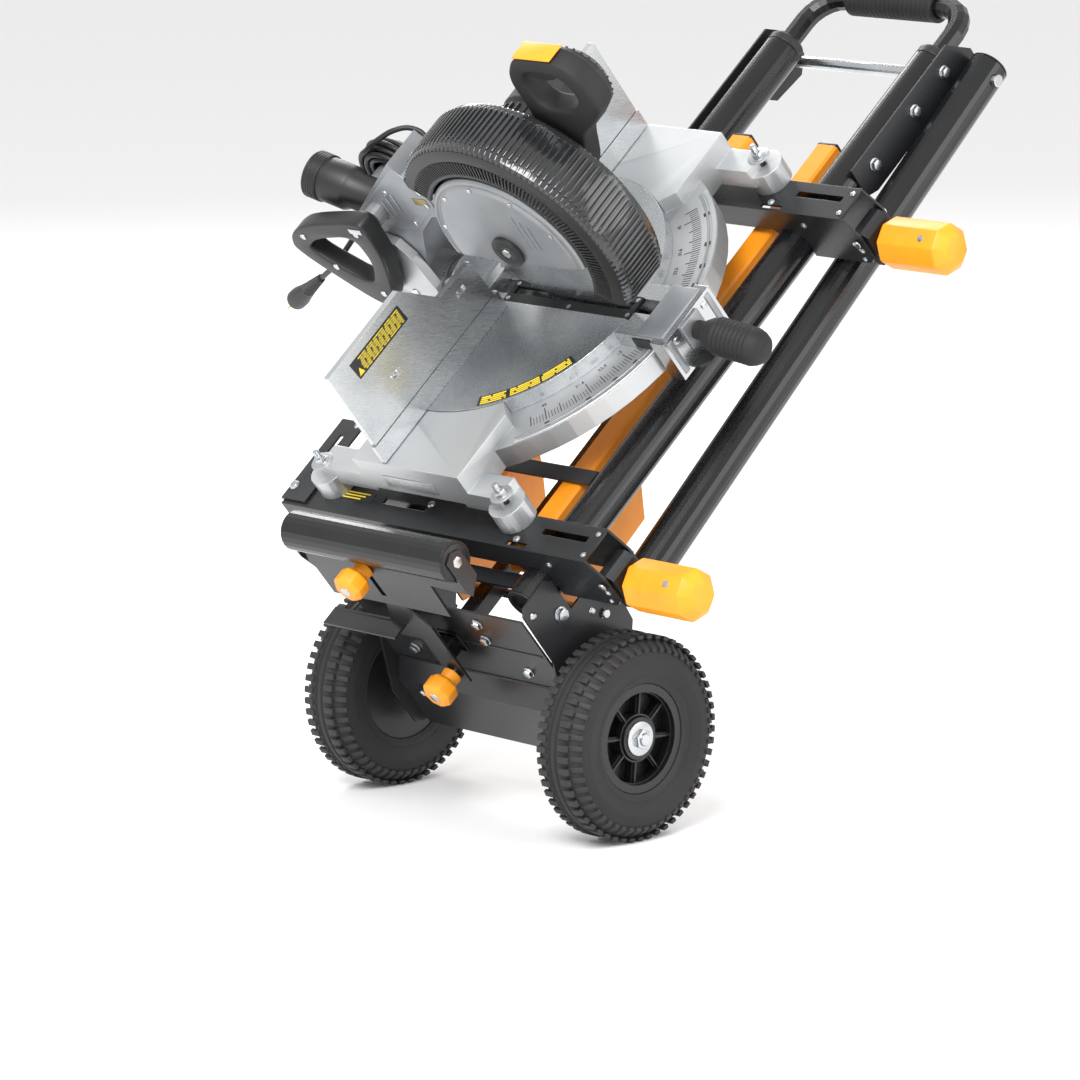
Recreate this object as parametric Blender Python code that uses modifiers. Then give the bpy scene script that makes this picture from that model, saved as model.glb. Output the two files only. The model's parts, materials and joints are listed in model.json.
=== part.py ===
# Mitre saw on a folding wheeled stand, tipped back on its wheels for moving.
#
# Everything is laid out in the stand's own frame, in millimetres:
# X along the wheel axle towards the front of the saw, Y along the rails from the
# wheel end to the pull handle, Z square to the rails, on the saw's upper side.
# Its origin is the middle of the axle. One empty then tips the whole stand.
import math

import bmesh
import bpy
from mathutils import Matrix, Vector

GROUP = "mitre_saw_on_stand"
MM = 0.001
GAP = 0.3                 # air between touching pieces
TILT = 40.3               # degrees between the rails and the ground

# wheels
WHEEL_RADIUS = 127.0      # 10 inch wheel
WHEEL_X = 209.5           # half of the wheel track
TYRE_WIDTH = 70.0
RIM_RADIUS = 67.0
AXLE_RADIUS = 8.0

# rails and stand
RAIL_RADIUS = 25.4        # 2 inch tube
TUBE_WALL = 2.4
RAIL_X = 130.0
RAIL_Z = 182.0
RAIL_START = 34.0
RAIL_END = 960.0
PLATE_X = RAIL_X + RAIL_RADIUS + GAP
PLATE_THICK = 3.0
SHEET = 3.0

# cross bars
BAR_TOP = 240.0
BAR_REAR = -305.0
BAR_FRONT = 238.0
BAR_WIDTH = 53.0
LOWER_BAR_Y = 72.0
UPPER_BAR_Y = 641.0
LEVER_PIVOT = (246.0, 200.0)
GRIP_Z = 178.0

# legs
OUTER_LEG_X = PLATE_X + PLATE_THICK + GAP + RAIL_RADIUS
OUTER_HINGE = (975.0, 148.0)
OUTER_FOOT = (130.0, 103.0)
INNER_HINGE = (100.0, 100.0)
INNER_LEG_X = 75.0
INNER_LEG_TOP = 195.0
INNER_LEG_END = 800.0

# end support
ROLLER = (-16.0, 318.0)   # Y and Z of the roller's axis
ROLLER_RADIUS = 25.0
ROLLER_HALF = 143.0

# saw
SAW_X = -88.0             # fence face, and centre of the turntable
SAW_Y = 402.0
TABLE_TOP = 312.0
SCALE_TOP = 292.0
TURNTABLE_RADIUS = 203.0
RIM_OUTER = 264.0
ARBOR = (30.0, 452.0)     # X and Z of the blade's axis with the head down
BLADE_RADIUS = 152.4      # 12 inch blade
GUARD_FRONT = -33.0       # degrees, where the lower guard starts with the head down
HEAD_PIVOT = (-222.0, 400.0)
MOTOR_AXIS = (10.0, 516.0)
CORD_RADIUS = 3.75

MATERIALS = {
    "black_sheet": ((0.016, 0.016, 0.018), 0.42, 0.3),
    "black_tube": ((0.02, 0.02, 0.022), 0.3, 0.4),
    "orange_paint": ((0.8, 0.25, 0.012), 0.4, 0.0),
    "orange_plastic": ((0.9, 0.3, 0.01), 0.42, 0.0),
    "tyre_rubber": ((0.012, 0.012, 0.012), 0.75, 0.0),
    "rim_plastic": ((0.014, 0.014, 0.015), 0.5, 0.0),
    "zinc_steel": ((0.55, 0.56, 0.58), 0.35, 1.0),
    "cast_aluminium": ((0.5, 0.52, 0.54), 0.42, 0.9),
    "polished_aluminium": ((0.72, 0.74, 0.76), 0.22, 1.0),
    "grey_paint": ((0.3, 0.31, 0.33), 0.45, 0.2),
    "black_plastic": ((0.02, 0.02, 0.021), 0.5, 0.0),
    "smoked_plastic": ((0.03, 0.03, 0.032), 0.2, 0.0),
    "blade_steel": ((0.6, 0.61, 0.62), 0.25, 1.0),
    "cord_rubber": ((0.01, 0.01, 0.01), 0.55, 0.0),
}


def clear_scene():
    for obj in list(bpy.data.objects):
        bpy.data.objects.remove(obj, do_unlink=True)


def make_collection(name):
    collection = bpy.data.collections.new(name)
    bpy.context.scene.collection.children.link(collection)
    return collection


def make_materials():
    made = {}
    for name, (colour, roughness, metallic) in MATERIALS.items():
        material = bpy.data.materials.new(name)
        material.use_nodes = True
        shader = material.node_tree.nodes["Principled BSDF"]
        shader.inputs["Base Color"].default_value = (*colour, 1.0)
        shader.inputs["Roughness"].default_value = roughness
        shader.inputs["Metallic"].default_value = metallic
        made[name] = material
    return made


clear_scene()
parts = make_collection(GROUP)
cutters = make_collection("cutters")
materials = make_materials()


def add_mesh(name, bm):
    mesh = bpy.data.meshes.new(name)
    bm.to_mesh(mesh)
    bm.free()
    obj = bpy.data.objects.new(name, mesh)
    parts.objects.link(obj)
    return obj


def block(name, low, high, round_edges=0.0):
    # A box from its lowest to its highest corner.
    low, high = Vector(low) * MM, Vector(high) * MM
    bm = bmesh.new()
    bmesh.ops.create_cube(bm, size=1.0)
    bmesh.ops.scale(bm, vec=high - low, verts=bm.verts)
    bmesh.ops.translate(bm, vec=(low + high) / 2, verts=bm.verts)
    if round_edges:
        bmesh.ops.bevel(bm, geom=bm.edges[:], offset=round_edges * MM, segments=1,
                        affect="EDGES", profile=0.5)
    return add_mesh(name, bm)


def rod(name, start, end, radius, end_radius=None, sides=24, edge=0.0):
    # A round bar, or a cone, between two points.
    start, end = Vector(start) * MM, Vector(end) * MM
    along = end - start
    bm = bmesh.new()
    bmesh.ops.create_cone(bm, cap_ends=True, segments=sides, radius1=radius * MM,
                          radius2=(radius if end_radius is None else end_radius) * MM,
                          depth=along.length)
    if edge:
        rims = [e for e in bm.edges if abs(e.verts[0].co.z - e.verts[1].co.z) < 1e-7]
        bmesh.ops.bevel(bm, geom=rims, offset=edge * MM, segments=1, affect="EDGES", profile=0.5)
    turn = Vector((0, 0, 1)).rotation_difference(along).to_matrix().to_4x4()
    bmesh.ops.transform(bm, matrix=Matrix.Translation((start + end) / 2) @ turn, verts=bm.verts)
    return add_mesh(name, bm)


FACING = {
    "X": Matrix(((0, 0, 1), (1, 0, 0), (0, 1, 0))).to_4x4(),    # outline in Y, Z
    "Y": Matrix(((1, 0, 0), (0, 0, -1), (0, 1, 0))).to_4x4(),   # outline in X, Z
    "Z": Matrix.Identity(4),                                    # outline in X, Y
}


def settle(obj):
    # Turns a curve, or an object with modifiers, into a welded mesh in the stand's frame.
    bpy.context.view_layer.update()
    seen = obj.evaluated_get(bpy.context.evaluated_depsgraph_get())
    mesh = bpy.data.meshes.new_from_object(seen)
    mesh.transform(obj.matrix_world)
    bm = bmesh.new()
    bm.from_mesh(mesh)
    bmesh.ops.remove_doubles(bm, verts=bm.verts, dist=0.00002)
    bmesh.ops.recalc_face_normals(bm, faces=bm.faces)
    bm.to_mesh(mesh)
    bm.free()
    name = obj.name
    bpy.data.objects.remove(obj, do_unlink=True)
    solid = bpy.data.objects.new(name, mesh)
    parts.objects.link(solid)
    return solid


def slab(name, axis, low, high, outline, *holes):
    # A flat outline, with holes, given thickness from low to high along an axis.
    curve = bpy.data.curves.new(name, "CURVE")
    curve.dimensions = "2D"
    curve.fill_mode = "BOTH"
    curve.extrude = (high - low) / 2 * MM
    for points in (outline, *holes):
        spline = curve.splines.new("POLY")
        spline.points.add(len(points) - 1)
        for point, (a, b) in zip(spline.points, points):
            point.co = (a * MM, b * MM, 0, 1)
        spline.use_cyclic_u = True
    obj = bpy.data.objects.new(name, curve)
    parts.objects.link(obj)
    middle = (low + high) / 2 * MM
    facing = FACING[axis]
    shift = facing @ Vector((0, 0, 1)) * middle
    if axis == "Y":
        shift = Vector((0, middle, 0))
    obj.matrix_world = Matrix.Translation(shift) @ facing
    return settle(obj)


def turned(name, base, direction, profile, steps=48, angle=360.0, start=0.0):
    # A profile of (radius, height) points, outer side first, turned about an axis.
    bm = bmesh.new()
    verts = [bm.verts.new((r * MM, 0, h * MM)) for r, h in profile]
    for a, b in zip(verts, verts[1:]):
        bm.edges.new((a, b))
    if profile[0][0] or profile[-1][0]:
        bm.edges.new((verts[-1], verts[0]))
    obj = add_mesh(name, bm)
    screw = obj.modifiers.new("turn", "SCREW")
    screw.steps = screw.render_steps = steps
    screw.angle = math.radians(angle)
    screw.use_merge_vertices = True
    screw.merge_threshold = 0.00001
    turn = Vector((0, 0, 1)).rotation_difference(Vector(direction)).to_matrix().to_4x4()
    spin = Matrix.Rotation(math.radians(start), 4, "Z")
    obj.matrix_world = Matrix.Translation(Vector(base) * MM) @ turn @ spin
    return obj


def close_ends(obj):
    bm = bmesh.new()
    bm.from_mesh(obj.data)
    bmesh.ops.holes_fill(bm, edges=bm.edges, sides=0)
    bmesh.ops.recalc_face_normals(bm, faces=bm.faces)
    bm.to_mesh(obj.data)
    bm.free()
    return obj


def tube(name, points, radius, resolution=3):
    # A round wire or pipe along points, with closed ends.
    curve = bpy.data.curves.new(name, "CURVE")
    curve.dimensions = "3D"
    curve.bevel_depth = radius * MM
    curve.bevel_resolution = resolution
    curve.use_fill_caps = True
    spline = curve.splines.new("POLY")
    spline.points.add(len(points) - 1)
    for point, place in zip(spline.points, points):
        point.co = (*(Vector(place) * MM), 1)
    obj = bpy.data.objects.new(name, curve)
    parts.objects.link(obj)
    return settle(obj)


def circle(a, b, radius, count=32):
    return [(a + radius * math.cos(2 * math.pi * n / count),
             b + radius * math.sin(2 * math.pi * n / count)) for n in range(count)]


def arc(a, b, radius, start, end, count):
    turns = [math.radians(start + (end - start) * n / (count - 1)) for n in range(count)]
    return [(a + radius * math.cos(t), b + radius * math.sin(t)) for t in turns]


def smooth_path(points, spacing):
    # Points at even spacing on a smooth curve through the given ones.
    points = [Vector(p) for p in points]
    ends = [points[0] * 2 - points[1]] + points + [points[-1] * 2 - points[-2]]
    fine = []
    for p0, p1, p2, p3 in zip(ends, ends[1:], ends[2:], ends[3:]):
        for n in range(24):
            t = n / 24
            fine.append(0.5 * (2 * p1 + (p2 - p0) * t + (2 * p0 - 5 * p1 + 4 * p2 - p3) * t * t
                               + (3 * p1 - 3 * p2 + p3 - p0) * t ** 3))
    fine.append(points[-1])
    lengths = [0.0]
    for a, b in zip(fine, fine[1:]):
        lengths.append(lengths[-1] + (b - a).length)
    count = max(2, round(lengths[-1] / spacing))
    path, k = [], 0
    for n in range(count + 1):
        want = lengths[-1] * n / count
        while k < len(fine) - 2 and lengths[k + 1] < want:
            k += 1
        share = (want - lengths[k]) / (lengths[k + 1] - lengths[k])
        path.append(fine[k].lerp(fine[k + 1], share))
    return path


def use(obj, tool, operation):
    parts.objects.unlink(tool)
    cutters.objects.link(tool)
    tool.hide_render = True
    tool.display_type = "WIRE"
    step = obj.modifiers.new(tool.name, "BOOLEAN")
    step.operation = operation
    step.object = tool
    return obj


def cut(obj, *tools):
    for tool in tools:
        use(obj, tool, "DIFFERENCE")
    return obj


def join(obj, *tools):
    for tool in tools:
        use(obj, tool, "UNION")
    return obj


def finish(obj, material, pivot=None, smooth=True):
    # Gives a piece its material, its shading and, when it moves, its origin.
    if obj.modifiers:
        obj = settle(obj)
    obj.data.materials.clear()
    obj.data.materials.append(materials[material])
    if smooth:
        obj.data.shade_smooth()
        obj.data.set_sharp_from_angle(angle=math.radians(35))
    if pivot is not None:
        place = Vector(pivot) * MM
        obj.data.transform(Matrix.Translation(-place))
        obj.location = place
    return obj


SIDES = (("front", 1), ("rear", -1))


def x_span(low, high, side):
    return (low, high) if side > 0 else (-high, -low)


def make_axle():
    half = WHEEL_X + 34
    finish(rod("axle", (-half, 0, 0), (half, 0, 0), AXLE_RADIUS, sides=16, edge=1.5), "zinc_steel")


def make_wheel(side_name, side):
    half = TYRE_WIDTH / 2
    outline = [(RIM_RADIUS + 0.6, -half + 9), (99, -half), (114, -half + 3), (WHEEL_RADIUS, -14),
               (WHEEL_RADIUS, 14), (114, half - 3), (99, half), (RIM_RADIUS + 0.6, half - 9)]
    centre = (side * WHEEL_X, 0, 0)
    tyre = turned(f"tyre_{side_name}", centre, (side, 0, 0), outline[::-1], steps=40)
    finish(tyre, "tyre_rubber", centre)

    bore = AXLE_RADIUS + 0.4
    rim = turned(f"rim_{side_name}", centre, (side, 0, 0),
                 [(bore, 22), (26, 22), (28, 2), (56, 2), (57, 25), (RIM_RADIUS, 25),
                  (RIM_RADIUS, -25), (bore, -22)][::-1], steps=32)
    rim = settle(rim)
    spokes = []
    for n in range(8):
        turn = 2 * math.pi * n / 8
        spoke = block(f"spoke_{side_name}_{n}", (1, 24, -3), (15, 58, 3))
        spoke.data.transform(Matrix.Rotation(turn, 4, "X"))
        if side < 0:
            spoke.data.transform(Matrix.Rotation(math.pi, 4, "Z"))
        spoke.data.transform(Matrix.Translation(Vector(centre) * MM))
        spokes.append(spoke)
    finish(join(rim, *spokes), "rim_plastic", centre)


def make_wheel_plate(side_name, side):
    outline = [(-22, -34), (40, -34), (128, 58), (134, 116), (112, 146), (66, 146), (66, 196),
               (58, 205), (14, 205), (6, 196), (4, 118), (-34, 34), (-34, -24)]
    low, high = x_span(PLATE_X, PLATE_X + PLATE_THICK, side)
    plate = slab(f"wheel_side_plate_{side_name}", "X", low, high, outline,
                 circle(0, 0, AXLE_RADIUS + GAP + 0.2, 16),
                 circle(*INNER_HINGE, 6 + GAP + 0.2, 16))
    finish(plate, "black_sheet")


def make_wheel_end_panel():
    half = PLATE_X - GAP
    outline = [(3.7, 192), (0.7, 192), (0.7, 62), (-18, 40), (-18, -42), (-12, -48), (14, -48),
               (14, -45), (-11, -45), (-15, -41), (-15, 39), (3.7, 61)]
    panel = slab("wheel_end_panel", "X", -half, half, outline)
    cut(panel, block("panel_arm_window", (-26, -30, 112), (6, 30, 138)))
    finish(panel, "black_sheet")


def make_rail(side_name, side):
    rail = rod(f"{side_name}_rail", (side * RAIL_X, RAIL_START, RAIL_Z),
               (side * RAIL_X, RAIL_END, RAIL_Z), RAIL_RADIUS, sides=32, edge=1.2)
    cut(rail, rod(f"{side_name}_rail_bore", (side * RAIL_X, RAIL_START - 20, RAIL_Z),
                  (side * RAIL_X, RAIL_END + 20, RAIL_Z), RAIL_RADIUS - TUBE_WALL, sides=16))
    finish(rail, "black_tube")


def make_ties():
    low_half = RAIL_X - math.sqrt(RAIL_RADIUS ** 2 - 4 ** 2) - GAP
    finish(block("wheel_end_tie", (-low_half, 57, 176), (low_half, 78, 180)), "black_sheet")
    high_half = RAIL_X - math.sqrt(RAIL_RADIUS ** 2 - 15 ** 2) - GAP
    finish(block("mid_tie", (-high_half, 212, 197), (high_half, 234, 200)), "black_sheet")


def make_handle_plate(side_name, side):
    outline = [(750, 205), (750, 160), (770, 152), (900, 152), (930, 118), (985, 112),
               (1006, 130), (1006, 170), (975, 205)]
    low, high = x_span(PLATE_X, PLATE_X + PLATE_THICK, side)
    plate = slab(f"handle_side_plate_{side_name}", "X", low, high, outline,
                 circle(*OUTER_HINGE, 8 + GAP + 0.2, 16))
    finish(plate, "black_sheet")


def make_pull_handle():
    start = RAIL_END + GAP
    bend = 45
    reach = 1060
    path = [(RAIL_X, start, RAIL_Z)]
    path += [(RAIL_X - bend + x, reach - bend + y, RAIL_Z) for x, y in arc(0, 0, bend, 0, 90, 6)]
    path += [(-x, y, z) for x, y, z in reversed(path)]
    finish(tube("pull_handle", path, 14, 3), "black_tube")
    grip = turned("pull_handle_grip", (-75, reach, RAIL_Z), (1, 0, 0),
                  [(14 + GAP, 0), (20, 0), (20, 150), (14 + GAP, 150)][::-1], steps=24)
    finish(grip, "black_plastic")


def bar_flange(name, y):
    # Side of a cross bar: deep beyond the rails, shallow between them.
    foot, waist = 165.0, 205.0
    inner = RAIL_X - 26
    outline = [(BAR_REAR, BAR_TOP), (BAR_REAR, 214), (-252, foot), (-RAIL_X - 24, foot),
               (-RAIL_X - 24, RAIL_Z), (-RAIL_X, RAIL_Z), (-inner, waist), (inner, waist),
               (RAIL_X, RAIL_Z), (RAIL_X + 24, RAIL_Z), (RAIL_X + 24, foot), (248, foot),
               (258, 175), (255, 212), (BAR_FRONT, BAR_TOP)]
    return slab(name, "Y", y, y + SHEET, outline)


def make_bar(name, y):
    web_top = BAR_TOP
    bar = block(name, (BAR_REAR, y, web_top - SHEET), (BAR_FRONT, y + BAR_WIDTH, web_top))
    join(bar, bar_flange(f"{name}_near_flange", y),
         bar_flange(f"{name}_far_flange", y + BAR_WIDTH - SHEET))
    below, above = web_top - 10, web_top + 10
    cut(bar, block(f"{name}_slot", (143, y + 28, below), (219, y + 37, above)),
        block(f"{name}_small_slot", (100, y + 4, below), (134, y + 10, above)),
        block(f"{name}_rear_slot", (-140, y + 28, below), (-64, y + 37, above)))
    for _, side in SIDES:
        cut(bar, rod(f"{name}_saddle_{side}", (side * RAIL_X, y - 20, RAIL_Z),
                     (side * RAIL_X, y + BAR_WIDTH + 20, RAIL_Z), RAIL_RADIUS + GAP + 0.1, sides=32))
    x, z = LEVER_PIVOT
    cut(bar, rod(f"{name}_pin_hole", (x, y - 20, z), (x, y + BAR_WIDTH + 20, z), 4.5, sides=12))
    finish(bar, "black_sheet")


def make_bar_plate(name, y_low, y_high, slot_low):
    plate = slab(name, "Z", BAR_TOP + GAP, BAR_TOP + GAP + SHEET,
                 [(-308, y_low), (-264, y_low), (-264, y_high), (-308, y_high)],
                 [(-291, slot_low), (-283, slot_low), (-283, slot_low + 66), (-291, slot_low + 66)])
    finish(plate, "black_sheet")


def make_lever(name, y):
    x, z = LEVER_PIVOT
    middle = y + BAR_WIDTH / 2
    pivot = (x, middle, z)
    outline = [(238, 211), (252, 212), (261.7, 204), (261.7, 158), (252, 158), (238, 188)]
    arm = slab(f"{name}_lever_arm", "Y", y + SHEET + 2, y + BAR_WIDTH - SHEET - 2, outline)
    join(arm, rod(f"{name}_lever_pin", (x, y - 3, z), (x, y + BAR_WIDTH + 3, z), 4, sides=12))
    finish(arm, "black_sheet", pivot)

    grip = rod(f"{name}_lever_grip", (262, middle, GRIP_Z), (376, middle, GRIP_Z), 32.5, sides=8)
    bm = bmesh.new()
    bm.from_mesh(grip.data)
    ends = [e for e in bm.edges if abs(e.verts[0].co.x - e.verts[1].co.x) < 1e-6]
    bmesh.ops.bevel(bm, geom=ends, offset=12 * MM, segments=1, affect="EDGES", profile=0.5)
    bm.to_mesh(grip.data)
    bm.free()
    finish(grip, "orange_plastic", pivot, smooth=False)


def make_outer_legs():
    pivot = (0, *OUTER_HINGE)
    for side_name, side in SIDES:
        x = side * OUTER_LEG_X
        leg = rod(f"outer_leg_{side_name}", (x, OUTER_HINGE[0] + 22, OUTER_HINGE[1] + 1.2),
                  (x, *OUTER_FOOT), RAIL_RADIUS, sides=24, edge=2)
        top, foot = Vector((x, OUTER_HINGE[0] + 22, OUTER_HINGE[1] + 1.2)), Vector((x, *OUTER_FOOT))
        cut(leg, rod(f"outer_leg_bore_{side}", top.lerp(foot, -0.02), top.lerp(foot, 1.02),
                     RAIL_RADIUS - TUBE_WALL, sides=16),
            rod(f"outer_leg_hole_{side}", (x - 30, *OUTER_HINGE), (x + 30, *OUTER_HINGE),
                8 + GAP + 0.1, sides=16))
        finish(leg, "black_tube", pivot)
    half = OUTER_LEG_X + RAIL_RADIUS + 6
    finish(rod("outer_leg_pivot_bar", (-half, *OUTER_HINGE), (half, *OUTER_HINGE), 8, sides=16,
               edge=1), "zinc_steel", pivot)


def make_inner_legs():
    pivot = (0, *INNER_HINGE)
    for side_name, side in SIDES:
        low, high = x_span(INNER_LEG_X - 17, INNER_LEG_X + 17, side)
        leg = block(f"inner_leg_{side_name}", (low, 84, INNER_LEG_TOP - 22),
                    (high, INNER_LEG_END, INNER_LEG_TOP), 3)
        ear_low, ear_high = x_span(INNER_LEG_X + 11, INNER_LEG_X + 15, side)
        ear = slab(f"inner_leg_ear_{side}", "X", ear_low, ear_high,
                   [(88, 188), (320, 188), (286, 118), (262, 80), (110, 76), (84, 88)])
        join(leg, ear)
        cut(leg, block(f"inner_leg_bore_{side}", (low + 2.2, 60, INNER_LEG_TOP - 19.8),
                       (high - 2.2, INNER_LEG_END + 20, INNER_LEG_TOP - 2.2)),
            rod(f"inner_leg_hole_{side}", (low - 30, *INNER_HINGE), (high + 30, *INNER_HINGE),
                6 + GAP + 0.1, sides=16))
        finish(leg, "orange_paint", pivot)
    half = PLATE_X + PLATE_THICK + 5
    finish(rod("inner_leg_pivot_bar", (-half, *INNER_HINGE), (half, *INNER_HINGE), 6, sides=16,
               edge=1), "zinc_steel", pivot)


def make_support():
    arm_x, arm_z = -10.0, 125.0
    finish(block("support_arm", (arm_x - 12, -20, arm_z - 12), (arm_x + 12, 420, arm_z + 12), 2),
           "black_tube")
    face = -20 - GAP
    bracket = slab("support_bracket", "Y", face - 3, face,
                    [(-171, 176), (-171, 150), (-28, 150), (-28, 78), (8, 78), (8, 178), (-14, 210),
                    (-20, 291), (-50, 291), (-50, 210), (-66, 178)])
    join(bracket, block("bracket_shelf", (-171, face - 27, 173), (-40, face, 176)))
    for z in (KNOB_HIGH[1], KNOB_LOW[1]):
        x = KNOB_HIGH[0] if z == KNOB_HIGH[1] else KNOB_LOW[0]
        cut(bracket, rod(f"bracket_hole_{z}", (x, -60, z), (x, 10, z), 4 + GAP + 0.2, sides=12))
    finish(bracket, "black_sheet")


KNOB_HIGH = (-35.0, 282.0)   # X and Z of the roller height knob
KNOB_LOW = (-12.0, 92.0)     # X and Z of the arm lock knob


def make_roller_plate():
    back = -20 - GAP - 3 - GAP
    front = back - 3
    y, z = ROLLER
    ear_out = ROLLER_HALF + 1 + SHEET
    plate = slab("roller_plate", "Y", front, back,
                 [(1 - ear_out, 291), (1 - ear_out, 271), (-138, 262), (-138, 216), (72, 216),
                  (76, 273), (ear_out - 1, 270), (ear_out - 1, 291)])
    for _, side in SIDES:
        low, high = x_span(ROLLER_HALF + 1, ear_out, side)
        join(plate, slab(f"roller_ear_{side}", "X", low, high,
                         [(front + 1, 268), (y + 12, 284), (y + 12, z + 10), (y, z + 16),
                          (y - 14, z + 10), (y - 14, 284)]))
    join(plate, rod("roller_axle", (1 - ear_out, y, z), (ear_out - 1, y, z), 5, sides=12))
    x = KNOB_HIGH[0]
    cut(plate, block("roller_plate_slot", (x - 4.4, front - 5, 232), (x + 4.4, back + 5, 286.6)))
    finish(plate, "black_sheet", (x, y, z))

    wide = 2 * ROLLER_HALF
    roller = turned("end_roller", (-ROLLER_HALF, y, z), (1, 0, 0),
                    [(5.6, 0), (24, 0), (ROLLER_RADIUS, 1), (ROLLER_RADIUS, wide - 1), (24, wide),
                     (5.6, wide), (5.6, wide - 4), (ROLLER_RADIUS - TUBE_WALL, wide - 4),
                     (ROLLER_RADIUS - TUBE_WALL, 4), (5.6, 4)], steps=24)
    finish(roller, "black_tube", (0, y, z))


def make_knob(name, x, z, tip):
    # Clamp screw with a faceted head; the screw points into the object.
    head_near, head_far = tip - 13, tip - 39
    knob = rod(name, (x, head_near, z), (x, head_far, z), 21, sides=8)
    bm = bmesh.new()
    bm.from_mesh(knob.data)
    ends = [e for e in bm.edges if abs(e.verts[0].co.y - e.verts[1].co.y) < 1e-6]
    bmesh.ops.bevel(bm, geom=ends, offset=5 * MM, segments=1, affect="EDGES", profile=0.5)
    bm.to_mesh(knob.data)
    bm.free()
    join(knob, rod(f"{name}_collar", (x, head_near + 11, z), (x, head_near - 2, z), 11, 13, sides=12),
         rod(f"{name}_screw", (x, tip + 8, z), (x, head_near, z), 4, sides=12))
    finish(knob, "orange_plastic", (x, head_near, z), smooth=False)


def make_saw_base():
    low = 262.0
    half = 295.0
    base = block("saw_base", (-150, SAW_Y - half, low), (40, SAW_Y + half, TABLE_TOP))
    join(base, rod("scale_plate", (SAW_X, SAW_Y, low), (SAW_X, SAW_Y, SCALE_TOP), RIM_OUTER,
                   sides=64))
    cut(base, rod("turntable_seat", (SAW_X, SAW_Y, SCALE_TOP), (SAW_X, SAW_Y, 400),
                  TURNTABLE_RADIUS + 0.8, sides=64),
        block("rear_cut", (-400, SAW_Y - 300, low - 10), (-150, SAW_Y + 300, SCALE_TOP + 30)),
        block("housing_room", (-160, SAW_Y - 130, low - 10), (-112, SAW_Y + 130, SCALE_TOP + 30)))
    for name, sign in (("left", -1), ("right", 1)):
        edge = SAW_Y + sign * half
        inner = SAW_Y + sign * (half - 36)
        y_low, y_high = min(edge, inner), max(edge, inner)
        foot_y = SAW_Y + sign * (half - 8)
        join(base, block(f"front_foot_arm_{name}", (20, y_low, 256), (92, y_high, 284)),
             rod(f"front_foot_{name}", (92, foot_y, BAR_TOP + GAP), (92, foot_y, 270), 25, sides=20),
             block(f"rear_foot_arm_{name}", (-232, y_low, 256), (-140, y_high, 284)),
             rod(f"rear_foot_{name}", (-232, foot_y, BAR_TOP + GAP), (-232, foot_y, 268), 25,
                 sides=20))
        pocket_low, pocket_high = min(edge - sign * 12, SAW_Y + sign * 150), \
            max(edge - sign * 12, SAW_Y + sign * 150)
        cut(base, block(f"under_pocket_{name}", (-138, pocket_low, low - 20),
                        (18, pocket_high, 300)),
            rod(f"front_bolt_hole_{name}", (92, foot_y, 200), (92, foot_y, 330), 4.4, sides=8),
            rod(f"rear_bolt_hole_{name}", (-232, foot_y, 200), (-232, foot_y, 330), 4.4, sides=8))
    cut(base, rod("under_disc", (SAW_X, SAW_Y, low - 20), (SAW_X, SAW_Y, SCALE_TOP - 10), 120,
                  sides=32))
    # room for the mitre arm at its two end stops
    for name, angle in (("left", -45), ("right", 45)):
        c, s = math.cos(math.radians(angle)), math.sin(math.radians(angle))
        swept = [(SAW_X + r * c - w * s, SAW_Y + r * s + w * c)
                 for r, w in ((150, -43.5), (300, -43.5), (300, 43.5), (150, 43.5))]
        cut(base, slab(f"arm_room_{name}", "Z", SCALE_TOP, 340, swept))
    finish(base, "cast_aluminium")


def make_turntable():
    bottom = SCALE_TOP + GAP
    top = TABLE_TOP + 1
    table = rod("turntable", (SAW_X, SAW_Y, bottom), (SAW_X, SAW_Y, top), TURNTABLE_RADIUS, sides=64)
    join(table, block("mitre_arm", (60, SAW_Y - 42, bottom), (190, SAW_Y + 42, TABLE_TOP)),
         block("arm_block", (SAW_X + RIM_OUTER + 3, SAW_Y - 50, 252),
               (202, SAW_Y + 50, TABLE_TOP)),
         slab("trunnion", "X", -176, -164, arc(SAW_Y, TABLE_TOP, 46, 0, 180, 17)
              + [(SAW_Y - 46, bottom + 2), (SAW_Y + 46, bottom + 2)]))
    cut(table, block("rear_clip", (-400, SAW_Y - 300, bottom - 20), (-176.2, SAW_Y + 300, 400)),
        block("blade_slot", (-128, SAW_Y - 6, 296), (162, SAW_Y + 17, top + 10)),
        block("kerf_pocket", (-104, SAW_Y - 18.3, 308), (118.3, SAW_Y + 18.3, top + 10)),
        rod("bevel_pin_hole", (-200, SAW_Y, TABLE_TOP), (-163, SAW_Y, TABLE_TOP), 8.5, sides=16))
    finish(table, "polished_aluminium", (SAW_X, SAW_Y, bottom))

    plate = block("kerf_plate", (-103.7, SAW_Y - 18, 308.3), (118, SAW_Y + 18, top))
    cut(plate, block("kerf_gap", (-96, SAW_Y - 4, 300), (110, SAW_Y + 8, 330)))
    finish(plate, "black_plastic", (SAW_X, SAW_Y, bottom))


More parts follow.
